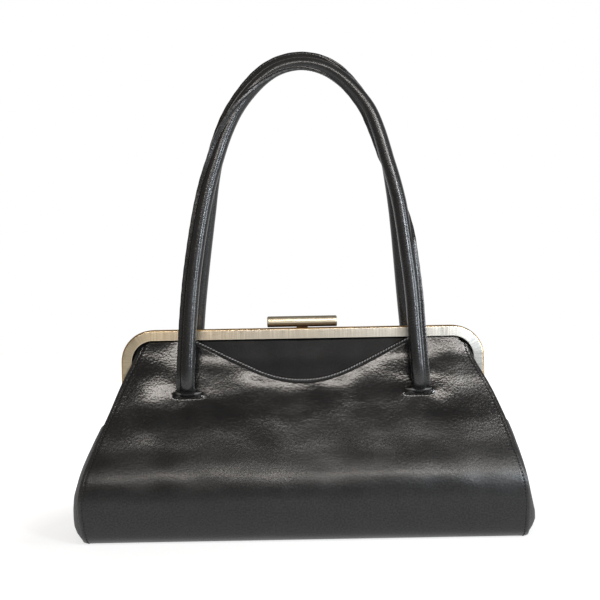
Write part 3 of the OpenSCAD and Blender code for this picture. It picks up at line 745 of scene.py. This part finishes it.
# Panels, yokes and boards
def make_panel(side):
    name = SIDES[side]
    x, s = panel_places(PANEL_INSET, 150, 170, panel_top, 0.0, TOP_ROWS)
    z = at_profile(s)[1]
    to_side = np.minimum(half_width(z, RIGHT) - PANEL_INSET - x, half_width(z, LEFT) - PANEL_INSET + x)
    to_v = (v_height(x) - z) * V_LEAN
    seams = seam_relief(to_side, s) + np.where(np.abs(x) < V_HALF_W, v_relief(to_v), 0)
    obj = layer(name + "_panel", side, x, s, s, 0.0, LEATHER_T, BLACK, seams=seams)
    nearest = np.minimum(np.maximum(to_side, 0), np.where(np.abs(x) < V_HALF_W - 2, np.abs(to_v - 0.5), 99))
    add_wear_and_sheen(obj, 0.5 * np.exp(-nearest / 0.9).ravel())
    fold(obj, side)
    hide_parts(name + "_panel_lower", name + "_panel_upper")


def make_panel_stitches(side):
    """The rows along the panel's edges and V, and the overcast cord on the V's fold."""
    name, parts = SIDES[side], []
    s = np.linspace(1.0, float(length_at(131.0)), 500)
    for sx in ENDS:
        x = sx * (half_width(at_profile(s)[1], sx) - PANEL_INSET - SEAM_IN)
        parts.append(path_stitches("edge", *on_leather(x, s, side, -0.06)[:2], SEAM_PITCH, 1.5, 0.55, THREAD))
    x = np.linspace(-74.5, 74.5, 400)
    row, cord_row = (length_at(v_height(x) - below / V_LEAN) for below in (V_SEAM, 0.62))
    parts.append(path_stitches("v", *on_leather(x, row, side, -0.22)[:2], V_PITCH, 1.55, 0.30, THREAD))
    obj = join(name + "_panel_stitches", parts)
    fold(obj, side)
    # The overcast cord's pale thread is partly a painted highlight on the fold.
    line = on_leather(x, cord_row, side, 0.50)[:2]
    cord = path_stitches(name + "_v_overcast", *line, V_PITCH, 1.45, 0.36, CORD_THREAD_PAINTED_HIGHLIGHT, lean=0.5)
    fold(cord, side)


def make_stiffener(side):
    name = SIDES[side]
    x, s = panel_places(5.0, 60, 80, lambda x: 77.0, 1.0, [6.0, 3.0, 0.0])
    obj = layer(name + "_stiffener", side, x, s, s, LEATHER_T + LAYER_GAP, BOARD_T, BOARD)
    fold(obj, side)
    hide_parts(name + "_board")


def make_yoke(side):
    name, high, half = SIDES[side], TUCK_Z - TUCK_GAP, 100
    x = np.linspace(-half, half, 90)
    low = np.minimum(v_height(x) - 7.5, high - 6)
    z = np.vstack([np.linspace(low, high - 3, 34), 0 * x + high - 1.5, 0 * x + high])
    x = x + 0 * z
    swell = -0.35 * np.cos(x / half * math.pi / 2) * np.sin(np.clip((z - 108) / 30, 0, 1) * math.pi)
    swell = np.minimum(0, swell + waves(x, z, 77 + side, 6, 90, 35, 0.10))
    obj = layer(name + "_yoke_insert", side, x, length_at(z), z, LEATHER_T + 0.12, YOKE_T, YOKE_BLACK, swell)
    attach(obj, name + "_half")
    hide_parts(name + "_yoke")


# Gussets: how far they swell out beyond the panels' edges, by height
SWELL_HEIGHTS = [0, 2, 6, 10, 15, 22, 30, 38, 46, 55, 65, 76, 90, 136]
GUSSET_SWELL = {
    LEFT: [1.4, 6.6, 9.6, 10.8, 10.9, 10.6, 9.7, 8.2, 7.0, 5.5, 4.3, 3.5, 2.4, 0],
    RIGHT: [1.4, 4.8, 8.6, 10.2, 9.9, 8.3, 6.8, 5.8, 4.8, 4.0, 3.6, 3.2, 2.2, 0],
}
# Share of a gusset's half depth at which it enters the frame's channel
GUSSET_TURN = 0.72


def gusset_grid(sx, side, off):
    """Half of a gusset, from the panel's edge to the middle, and above the hinge into the frame's channel."""
    z = np.concatenate([np.linspace(0.9, 90, 70), np.linspace(90, 134.6, 35)[1:]])[:, None]
    v = np.linspace(0, 1, 26)
    s, width = length_at(z), half_width(z, sx)
    depth = at_profile(s)[0] + relief(sx * width, s, side) - LEATHER_T - LAYER_GAP
    edge_x = width - 0.35
    away, tuck = smooth_step(z, 77, 89), smooth_step(z, 97.2, 101)
    inner_x = CORNER_X + np.sqrt(INNER_CORNER_R ** 2 - np.maximum(z - CORNER_Z, 0) ** 2)
    lip_x = np.minimum(inner_x - 0.95, edge_x)
    low_x = edge_x + np.interp(z, SWELL_HEIGHTS, GUSSET_SWELL[sx]) * (1 - (1 - v) ** 2)
    low_y = depth * (1 - v)
    w, t = np.minimum(v / GUSSET_TURN, 1), np.maximum(v - GUSSET_TURN, 0) / (1 - GUSSET_TURN)
    high_x = edge_x + (lip_x - edge_x) * w - 0.8 * np.sin(math.pi * w) + tuck * 2.6 * t * t
    high_y = depth + (FRAME_FRONT_Y + 0.1 - depth) * w - tuck * 4.0 * t
    x = low_x + (high_x - low_x) * away
    y = low_y + (high_y - low_y) * away
    x = x + 0.35 * np.sin(z / 9.0 + 2.4 * v) * np.sin(math.pi * v) * np.minimum(1, z / 20)
    x = x - 0.9 * np.exp(-v * depth / 2.2) - off
    return stack(sx * x, side * (y - off * away * tuck * v * 0.3), z), stack(y + 60 * (sx + 2) + 40, z + 10)


def make_gusset(sx, side):
    name, end = SIDES[side], ENDS[sx]
    (outer, uv), (inner, _) = (gusset_grid(sx, side, off) for off in (0.0, LEATHER_T))
    obj = shell(f"{end}_gusset_{name}", outer, inner, uv, GUSSET_BLACK, sx * side, 0.3)
    fold(obj, side)
    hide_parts(end + "_gusset", name + "_gusset_tops")


# Lining
def make_lining(side):
    """Half of the sewn lining: its face, and its returns along the gussets."""
    name, channel_y = SIDES[side], FRAME_FRONT_Y - 5.0
    z = np.concatenate([np.linspace(3.4, 90, 60), np.linspace(90, TUCK_Z - 0.6, 34)[1:]])[:, None]
    s, top_x = length_at(z), half_width(z) - 4.0
    arc = np.sqrt(np.maximum(0, (INNER_CORNER_R + 2) ** 2 - np.maximum(0, z - CORNER_Z) ** 2))
    in_frame = np.minimum(top_x, np.maximum(CORNER_X + arc - 1.5, CORNER_X))
    top_x = np.where(z > FRAME_LOW_Z - 8, in_frame, top_x)
    # Narrower beside the hinge, clear of the lugs
    side_x = top_x + (np.minimum(top_x, FRAME_HALF_W - 13.2) - top_x) * smooth_step(z, 56, 77)
    returns = np.linspace(0.12, 1, 10)
    v = np.concatenate([returns[::-1], np.zeros(60), returns])
    c = np.concatenate([np.full(10, -1.0), np.linspace(-1, 1, 60), np.ones(10)])
    x = c * (side_x - np.where(v > 0, 0, 2.5))
    y_face = at_profile(s)[0] - 3.2 + relief(x, s, side, False)
    end = np.where(z > 92, np.minimum(y_face - 0.6, channel_y), smooth_step(z, 70, 90) * channel_y)
    y = y_face + (end - y_face) * v
    inner_x = x - np.where(v > 0, np.sign(c) * LINING_T, 0)
    inner_y = np.maximum(y - np.where(v > 0, 0, LINING_T / math.cos(SLOPE)), 0)
    outer, inner = stack(x, side * y, z), stack(inner_x, side * inner_y, z)
    obj = shell(name + "_lining_half", outer, inner, stack(x + y * np.sign(c) + 300, z), LINING, side)
    fold(obj, side)
    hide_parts("lining_tub", name + "_lining")


def flat_sheet(name, half_x, half_y, z0, z1, material):
    """Flat sheet on the base, with rounded edges."""
    x, y = np.meshgrid(np.linspace(-half_x, half_x, 80), np.linspace(-half_y, half_y, 24))
    top, low = (stack(x, y, z) for z in (z1, z0))
    obj = shell(name, top, low, stack(x + 200, y + 100), material)
    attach(obj, "bag")
    return obj


# Frame
def frame_rings(section, side):
    """Rings of a section, given as (distance outside the inner edge, y), along the U of a frame half, and their UV."""
    leg, arc, top = CORNER_Z - LEG_LOW_Z, math.pi / 2 * (INNER_CORNER_R + FRAME_FACE / 2), 2 * CORNER_X
    spans = ((8, leg), (20, arc), (60, top), (20, arc), (8, leg))
    t = np.cumsum([0] + [length / count for count, length in spans for _ in range(count)])[:, None]
    turned = np.clip(t - leg, 0, arc) + np.clip(t - leg - arc - top, 0, arc)
    a = math.pi - turned / arc * math.pi / 2
    centre_x = np.clip(t - leg - arc, 0, top) - CORNER_X
    centre_z = CORNER_Z - np.maximum(leg - t, 0) - np.maximum(t - leg - 2 * arc - top, 0)
    n, y = section.T
    r = INNER_CORNER_R + n
    x, z = centre_x + r * np.cos(a), centre_z + r * np.sin(a)
    return stack(x, side * y, z), stack(t, along(section))


def make_frame(side):
    """Channel of one frame half: a bent strip with an eased outer edge and a rounded inner lip."""
    name = SIDES[side]
    front, back, wall, face, ease, lip, r = FRAME_FRONT_Y, FRAME_BACK_Y, FRAME_WALL, FRAME_FACE, 0.95, 0.3, 0.3
    strip = [
        (0.0, front - lip), (lip * 0.3, front - lip * 0.3), (lip, front), (lip + 0.5, front),
        (face * 0.35, front + 0.05), (face * 0.65, front + 0.05), (face - ease - 0.3, front),
    ]
    edges = [
        (face - ease, front - 0.03), (face - ease * 0.45, front - ease * 0.35), (face, front - ease),
        (face, front - ease - 0.4), (face, (front + back) / 2), (face, back + 0.3), (face - 0.25, back),
        (face * 0.5, back), (lip, back), (0.0, back + lip), (0.0, back + wall), (face - wall - r, back + wall),
        (face - wall, back + wall + r), (face - wall, front - wall - r), (face - wall - r, front - wall),
    ]
    section = np.array(strip + edges + [(0.0, front - wall)])
    rings, uv = frame_rings(section, side)
    obj = tube(name + "_frame_channel", rings, uv, FRAME_FACE_METAL)
    obj.data.materials.append(FRAME_EDGE_METAL)
    for polygon in obj.data.polygons[: (len(rings) - 1) * len(section)]:
        polygon.material_index = int(0 <= polygon.index % len(section) - len(strip) < len(edges))
    fix_normals(obj)
    split_edges(obj, 40)
    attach(obj, name + "_half")
    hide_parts(name + "_frame")


def hinge_circle(r, angles):
    return [(r * math.cos(a), HINGE_Z + r * math.sin(a)) for a in angles]


def make_lugs(side):
    """The plates at the ends of a frame half's legs. The rear ones lie outside the front ones."""
    name = SIDES[side]
    inner_x, thickness, r = (120.35 if side == FRONT else 122.6), 2.0, 4.2
    back, front, top = FRAME_BACK_Y + 0.5, FRAME_FRONT_Y - 0.45, LEG_LOW_Z + 8.0
    outline = [(back, top), (front, top), (front, LEG_LOW_Z + 0.3)]
    outline += hinge_circle(r, np.radians(np.linspace(15, -195, 30))) + [(back, HINGE_Z + r * 0.99)]
    hole = hinge_circle(1.56, turns(24))
    loops = [[(side * y, z) for y, z in outline], hole]
    ends = [sorted((sx * inner_x, sx * (inner_x + thickness))) for sx in ENDS]
    obj = join(name + "_frame_lugs", [plate("lug", loops, *x, PIN_METAL) for x in ends])
    bevel(obj, 0.22, 2, 35)
    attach(obj, name + "_half")


def make_pin(sx):
    """Rivet through a front and a rear lug, with a domed head at each end."""
    end = ENDS[sx]
    inner, outer, r = 119.1, 124.85, 1.5
    dome = [(0.0, 0.001), (0.05, 1.4), (0.25, 2.2), (0.6, 2.65), (1.0, 2.7)]
    profile = [(inner + x, q) for x, q in dome] + [(inner + 1.0, r), (outer, r)]
    profile += [(outer + 1.0 - x, q) for x, q in reversed(dome)]
    obj = lathe(end + "_hinge_rivet", [(sx * x, q) for x, q in profile], 0, HINGE_Z, PIN_METAL, 32)
    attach(obj, "bag")
    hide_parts(end + "_hinge_pin")


# Kiss lock
def make_clasp(side):
    """A bar with eased ends, on a short post."""
    name = SIDES[side]
    half, r = 24.5, 3.75
    y, z = side * 3.95, FRAME_TOP_Z + 0.65 + r
    ends = [(0.0, 0.02), (0.0, r - 0.9), (0.06, r - 0.55), (0.22, r - 0.2), (0.5, r - 0.04), (0.9, r)]
    profile = [(x - half, q) for x, q in ends] + [(x, r) for x in np.linspace(3 - half, half - 3, 15)]
    profile += [(half - x, q) for x, q in reversed(ends)]
    bar = lathe(name + "_clasp_roll", profile, y, z, BAR_METAL, 64)
    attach(bar, name + "_half")
    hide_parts(name + "_clasp_bar")
    # The post's near-black colour is painted shade.
    corners = [(x, y + dy, height) for x in (-4, 4) for dy in (-2.7, 2.7) for height in (FRAME_TOP_Z, z)]
    faces = [(0, 1, 3, 2), (4, 6, 7, 5), (0, 4, 5, 1), (2, 3, 7, 6), (0, 2, 6, 4), (1, 5, 7, 3)]
    post = new_object(name + "_clasp_post", corners, faces, POST_PAINTED_SHADE_METAL, [(v[0], v[2]) for v in corners], smooth=False)
    fix_normals(post)
    bevel(post, 0.3, 3, 30)
    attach(post, name + "_half")


# Handles: lengths of the curve's arms at the leg and at the top, and the top's height
HANDLE_ARCH = {FRONT: (138, 56, 329.5), REAR: (80, 72, 334.5)}
# Middle line of a handle's left end, in the slit: x beside the slit's middle, y, z
HANDLE_END = np.array([
    (-0.3, -21.2, 98.6), (-0.3, -22.2, 100.8), (-0.2, -24.2, 104.0), (0, -25.7, 107.0), (0.25, -26.4, 110.0),
])
# How far each leg stands outwards of its plain line, by height: used handles are never quite even
HANDLE_HEIGHTS = [100, 112, 145, 161, 178, 195, 212, 229, 246, 262, 279, 296, 304, 312, 321, 329, 340]
LEG_OUT = {
    (FRONT, LEFT): [0, 0.3, 1.3, 1.6, 1.8, 1.5, 1.2, 0.8, 0.1, -1.2, -1.7, -2.5, -3.4, -4.4, -4.6, -3.8, -2.4],
    (FRONT, RIGHT): [0, 0.3, 1.2, 2.1, 2.4, 2.5, 2.9, 3.4, 2.9, 2.2, 3.0, 3.8, 2.8, 2.0, 1.6, 2.0, 2.4],
    (REAR, LEFT): [0, -0.2, -0.9, -1.3, -2.0, -2.6, -3.0, -3.0, -2.2, -1.6, -1.9, -2.3, -3.0, -3.4, -3.4, -2.8, -2.4],
    (REAR, RIGHT): [0, -0.2, -1.2, -1.5, -1.5, -1.2, -0.6, 0.2, 1.0, 2.1, 2.2, 2.2, 1.4, 0.5, 0.0, 1.0, 2.4],
}
TOP_LIFT = {FRONT: 0.0, REAR: -1.0}
# Angle of the sewn edge round a handle, in degrees, by share of its length: outside on the legs, elsewhere on top
WELT_TURNS = {
    FRONT: (
        [0.0, 0.12, 0.27, 0.34, 0.40, 0.45, 0.52, 0.60, 0.68, 0.74, 0.80, 0.88, 1.0],
        [0, 2, 6, 30, 80, 125, 150, 190, 230, 295, 355, 374, 378],
    ),
    REAR: ([0.0, 0.25, 0.45, 0.52, 0.58, 0.64, 0.72, 0.84, 1.0], [-10, 0, 4, 0, -45, -80, -70, -20, -10]),
}
# Points round a handle's section, closer together at the welt
NEAR_WELT = [0, 4, 7.5, 9.5, 12, 16, 22, 30]
SECTION_ANGLES = np.radians([*NEAR_WELT, *np.linspace(42, 318, 24), *(360 - a for a in NEAR_WELT[:0:-1])])
WELT_HALF, LINE_STEP = 0.85, 1.9


def resample(points, step):
    """Smooths a line of points and spaces it evenly."""
    d = along(points)
    at = np.linspace(0, d[-1], int(round(d[-1] / step)) + 1)
    out = on_line(at, d, points)
    for _ in range(6):
        out[1:-1] = out[1:-1] * 0.5 + (out[:-2] + out[2:]) * 0.25
    return out


def handle_line(side):
    """Middle line of a handle from its left slit over the top to its right slit, at rest."""
    arm, top_arm, top_z = HANDLE_ARCH[side]
    lean_y = AXIS_Y - HANDLE_R - 0.35
    lean, top = math.atan(lean_y / (top_z - AXIS_Z)), math.hypot(lean_y, top_z - AXIS_Z)
    a, b, c, d = np.array([
        (-HANDLE_SPAN, 0), (-HANDLE_SPAN + arm * math.sin(LEG_SLOPE), arm * math.cos(LEG_SLOPE)),
        (-top_arm, top), (0, top),
    ])
    t = np.linspace(0, 1, 400)[:, None]
    x, up = ((1 - t) ** 3 * a + 3 * (1 - t) ** 2 * t * b + 3 * (1 - t) * t * t * c + t ** 3 * d).T
    x, up = x[up > 11.0], up[up > 11.0]
    arch = stack(x, up * math.sin(lean) - AXIS_Y, AXIS_Z + up * math.cos(lean))
    half = resample(np.concatenate([HANDLE_END - (HANDLE_SPAN, 0, 0), arch]), LINE_STEP)
    line = np.concatenate([half, half[::-1][1:] * (-1, 1, 1)])
    line[:, 1] *= -side
    left, right = (np.interp(line[:, 2], HANDLE_HEIGHTS, LEG_OUT[side, sx]) for sx in ENDS)
    line[:, 0] += np.where(line[:, 0] < 0, -left, right)
    line[:, 2] += TOP_LIFT[side] * np.clip((line[:, 2] - 290) / 40, 0, 1)
    return resample(line, LINE_STEP)


def welt_turn(share, side):
    return np.radians(np.interp(share, *WELT_TURNS[side]))[:, None]


def handle_size(height):
    """Half width across the arch's plane and half depth of the handle at a height. It is flatter in the slit."""
    r = 5.1 - 0.5 * np.clip((height - 240) / 90, 0, 1)
    flat = smooth_step(height, 105.9, 100.9)
    return (r + flat * 0.6)[:, None], (r - flat * 3.4)[:, None]


def rings_round(centre, first, second, p, q):
    """Rings of points round each centre, p along the first direction and q along the second."""
    return centre[:, None] + first[:, None] * p[..., None] + second[:, None] * q[..., None]


def make_handle(side):
    """A cover sewn round a twisted cord, with a welt that stands off it and a row of stitches on each side of it."""
    name = SIDES[side]
    line = handle_line(side)
    way = unit(np.gradient(line, axis=0))
    out = unit(np.cross(way, (0, 1, 0)))
    ahead = -side * np.cross(way, out)
    d, height = along(line), line[:, 2]
    a, b = SECTION_ANGLES, np.abs((SECTION_ANGLES + math.pi) % (2 * math.pi) - math.pi)
    turn = welt_turn(d / d[-1], side)
    half_out, half_ahead = handle_size(height)
    low, high = np.clip((height - 101.4) / 3, 0, 1), np.clip((height - 290) / 25, 0, 1)
    reach = ((2.4 - (1.3 if side == FRONT else 0.5) * high) * low)[:, None]
    ripple = 0.06 * np.sin(2 * math.pi * d / 2.4)[:, None]
    p, q = half_out * np.cos(turn + a), half_ahead * np.sin(turn + a)
    r = np.hypot(p, q)
    beyond = np.maximum((np.sin(b) * (r + reach * 0.6) - WELT_HALF) / 0.45, 0)
    welt = np.where(b < math.radians(26), np.exp(-1.6 * beyond * beyond), 0)
    groove = 0.22 * bell(b - math.radians(21), math.radians(5))
    grow = 1 + ((reach + ripple) * welt - groove) / r
    uv = stack(d[:, None] + 500 * (side == REAR), 2 + a * 5.2)
    obj = tube(name + "_handle_sleeve", rings_round(line, out, ahead, p * grow, q * grow), uv, HANDLE_BLACK)
    # Painted highlight: a paler beaded line along the welt's ridge, in place of the light that catches it.
    painted_bead_highlight = 0.35 + 0.25 * np.sin(2 * math.pi * d / 5.1)
    add_wear_and_sheen(obj, (painted_bead_highlight[:, None] * (b < math.radians(6))).ravel())
    fix_normals(obj)
    start, end = (0, side * 22.7 * MM, 101.0 * MM), (0, side * 27.0 * MM, 113.5 * MM)
    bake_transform(obj)
    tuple(start)
    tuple(end)
    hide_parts(name + "_handle_cover", name + "_handle_ends")
    inside = height > 117
    a, at = turns(24), d[inside][:, None]
    r = 3.55 + 0.18 * np.cos(3 * (a + at * 0.35))
    core = rings_round(line[inside], out[inside], ahead[inside], r * np.cos(a), r * np.sin(a))
    cord = tube(name + "_handle_core", core, stack(at, a * 3.6), COTTON)
    fix_normals(cord)
    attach(cord, name + "_handle")
    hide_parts(name + "_handle_cord")
    first, *_, last = d[low > 0.95]
    count = int((last - first) / 2.2)
    at = first + (np.arange(count) + 0.5) * (last - first) / count
    k = np.abs(d - at[:, None]).argmin(1)
    middle = on_line(at, d, line)
    turn = welt_turn(at / d[-1], side)
    half_out, half_ahead = handle_size(middle[:, 2])
    r = np.hypot(half_out * np.cos(turn), half_ahead * np.sin(turn))
    middle += (out[k] * np.cos(turn) + ahead[k] * np.sin(turn)) * (r + 0.75)
    across = ahead[k] * np.cos(turn) - out[k] * np.sin(turn)
    ups = np.stack([-across, across], 1).reshape(-1, 3)
    places = np.repeat(middle, 2, 0) + ups * (WELT_HALF + 0.10)
    stitches = capsules(name + "_handle_stitches", places, np.repeat(way[k], 2, 0), ups, 1.7, 0.33, THREAD)
    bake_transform(stitches)
    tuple(start)
    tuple(end)


# Slits: each lip's height above the slit's middle, bow, radius, height off the leather and material. The lower lip's
# pale leather is a painted highlight for the light along its top.
LIPS = [(-2.3, -1, 0.75, 0.4, LIP_PAINTED_HIGHLIGHT), (-3.8, -1, 0.8, 0.1, YOKE_BLACK), (1.1, 0.4, 0.5, 0.1, BLACK)]
LIP_HALF = 9.2


def make_rims(side):
    """Folded lips above and below each slit, and the short row of stitches under the lower one."""
    name, parts, stitches = SIDES[side], [], []
    u, a = np.linspace(-1, 1, 61), turns(14)
    dx = -9.1 + 2.6 * np.arange(8)
    stitch_z = SLIT_Z - 4.6 - 0.3 * (1 - (dx / 9.4) ** 2)
    for sx in ENDS:
        for rise, bow, radius, stand, material in LIPS:
            z = SLIT_Z + rise + bow * (0.45 * (1 - u * u) - 0.35 * u ** 6) - rise * 0.55 * np.abs(u) ** 7
            centre, normal, up = on_leather(sx * HANDLE_SPAN + LIP_HALF * u, length_at(z), side, stand)
            r = radius * np.sqrt(np.maximum(1 - np.abs(u) ** 9, 0.03)) * (1 + 0.06 * np.sin(11 * u + sx))
            rings = rings_round(centre, up, normal, r[:, None] * np.cos(a), r[:, None] * np.sin(a))
            uv = stack(u[:, None] * LIP_HALF + 40 * (rise < 0), 0.4 * np.arange(14))
            parts.append(tube("lip", rings, uv, material))
        places, normal, _ = on_leather(sx * HANDLE_SPAN + dx, length_at(stitch_z), side, 0.15)
        stitches.append(capsules("stitch", places, [(1, 0, 0)] * len(dx), normal, 1.9, 0.55, THREAD))
    rim = join(name + "_slit_folds", parts)
    fix_normals(rim)
    # Painted highlight: this wear value makes the black lips paler, for the light along their tops.
    add_wear_and_sheen(rim, np.full(len(rim.data.vertices), 0.4))
    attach(rim, name + "_half")
    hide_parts(name + "_slit_rims")
    rows = join(name + "_slit_stitches", stitches)
    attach(rows, name + "_half")


def make_tabs(side):
    """Flat ends of a handle, sewn behind the panel."""
    name, parts = SIDES[side], []
    for sx in ENDS:
        x, z = np.meshgrid(np.linspace(-8.2, 8.2, 16) + sx * HANDLE_SPAN, np.linspace(88.5, 99.2, 14))
        parts.append(layer("tab", side, x, length_at(z), z, LEATHER_T + 0.1, 1.2, HANDLE_BLACK))
    obj = join(name + "_handle_tab_pair", parts)
    fold(obj, side)
    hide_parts(name + "_handle_tabs")


# The bag
for side in SIDES:
    make_panel(side)
    make_panel_stitches(side)
    make_yoke(side)
    for sx in ENDS:
        make_gusset(sx, side)
    make_lining(side)
    make_stiffener(side)
    make_frame(side)
    make_lugs(side)
    make_clasp(side)
    make_handle(side)
    make_rims(side)
    make_tabs(side)
for sx in ENDS:
    make_pin(sx)

obj = flat_sheet("base_leather", BASE_HALF_W - 0.7, BASE_HALF_D, 0.0, LEATHER_T, BLACK)
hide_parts("base_panel")
obj = flat_sheet("base_stiffener", BASE_HALF_W - 5.7, BASE_HALF_D - 0.1, 1.6, 2.9, BOARD)
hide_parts("base_board")
obj = flat_sheet("base_lining", BASE_HALF_W - 5.0, BASE_HALF_D - 2.0, 3.1, 3.6, LINING)

# The CAD nodes that stay
for name in SIDES.values():
    for part, material in (("_frame_filler", PAPER), ("_clasp_washer", PIN_METAL)):
        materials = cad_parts[name + part].data.materials
        materials.clear()
        materials.append(material)


# Camera, floor and light
CAMERA_DISTANCE, CAMERA_HEIGHT, ROLL = 850.0, 163.3, math.radians(1.05)
PICTURE, MM_A_PIXEL, SHIFT = 600, 0.7065, -1.65
SWEEP_FRONT = -0.36


def make_camera():
    data = bpy.data.cameras.new("camera")
    camera = bpy.data.objects.new("camera", data)
    bpy.context.collection.objects.link(camera)
    field = 2 * math.atan(MM_A_PIXEL * PICTURE / 2 / CAMERA_DISTANCE)
    data.sensor_width = 36.0
    data.lens = data.sensor_width / 2 / math.tan(field / 2)
    data.clip_start, data.clip_end = 0.01, 50
    data.shift_x = SHIFT / PICTURE
    place = Matrix.Translation((0, -CAMERA_DISTANCE * MM, CAMERA_HEIGHT * MM))
    camera.matrix_world = place @ Matrix.Rotation(ROLL, 4, "Y") @ Matrix.Rotation(math.pi / 2, 4, "X")
    bpy.context.scene.camera = camera


def make_floor():
    """White sweep. It takes the bag's shadow, the camera sees it as white, and it ends a little in front of the bag,
    where polished surfaces mirror the dim room instead."""
    look, half = new_look("floor"), 3000.0
    path, place = look.add("LightPath").outputs, look.add("NewGeometry").outputs["Position"]
    mirrored = look.maths("MAXIMUM", path["Is Glossy Ray"], path["Is Transmission Ray"])
    sweep = look.remap(look.part_of(place, "Y"), SWEEP_FRONT - 0.05, SWEEP_FRONT + 0.05, 0.06, 0.72)
    reach = look.add("VectorMath", {0: place}, operation="LENGTH").outputs["Value"]
    seen = look.remap(reach, 0.19, 0.30, 0.74, 1.08)
    glow = look.maths("MULTIPLY_ADD", path["Is Camera Ray"], seen, look.maths("MULTIPLY", mirrored, sweep))
    shaders = (
        look.add("BsdfDiffuse", {"Color": (0.42, 0.42, 0.42, 1)}),
        look.add("Emission", {"Color": (1, 1, 1, 1), "Strength": glow}),
    )
    both = look.add("AddShader", {k: shader.outputs[0] for k, shader in enumerate(shaders)})
    look.put(look.out, {0: both.outputs[0]})
    corners = [(-half, -half, 0), (half, -half, 0), (half, half, 0), (-half, half, 0)]
    uv = [(0, 0), (1, 0), (1, 1), (0, 1)]
    new_object("floor", corners, [(0, 1, 2, 3)], look.owner, uv, smooth=False)


def make_world():
    """White for the eye. Reflections see a white backdrop low behind the bag, and a dim, warmer room elsewhere."""
    world = bpy.data.worlds.new("world")
    bpy.context.scene.world = world
    look = Look(world, "OutputWorld")
    place = look.place("Generated")
    behind = look.remap(look.part_of(place, "Y"), 0.25, 0.6, 0.0, 1.0)
    low = look.remap(look.part_of(place, "Z"), 0.35, 0.7, 1.0, 0.0)
    room = look.ramp(look.maths("MULTIPLY", behind, low), [(0.0, (0.165, 0.150, 0.135)), (1.0, (0.90, 0.90, 0.90))])
    colour = look.mix(look.add("LightPath").outputs["Is Camera Ray"], room, (1.0, 1.0, 1.0))
    look.put(look.out, {0: look.add("Background", {"Color": colour}).outputs[0]})


def area_light(name, place, target, width, height, power, colour):
    data = bpy.data.lights.new(name, "AREA")
    data.energy, data.color, data.shape = power, colour, "RECTANGLE"
    data.size, data.size_y = width, height
    obj = bpy.data.objects.new(name, data)
    bpy.context.collection.objects.link(obj)
    obj.location = place
    obj.rotation_mode = "QUATERNION"
    obj.rotation_quaternion = (Vector(target) - Vector(place)).to_track_quat("-Z", "Y")


make_camera()
make_floor()
make_world()
area_light("key", (0.60, -1.00, 0.80), (0, -0.02, 0.11), 0.24, 0.20, 3.6, (1.0, 0.97, 0.93))
area_light("softbox", (0.00, -1.12, 0.80), (0, -0.02, 0.11), 1.00, 0.14, 6.6, (1.0, 0.94, 0.88))
area_light("window", (0.59, -1.04, 0.50), (0.14, -0.04, 0.05), 0.14, 0.20, 5.0, (0.80, 0.90, 1.0))
area_light("side", (1.25, -0.62, 0.42), (0.1, -0.02, 0.06), 0.35, 0.5, 8.0, (0.86, 0.93, 1.0))
bpy.context.scene.view_settings.view_transform = "Standard"
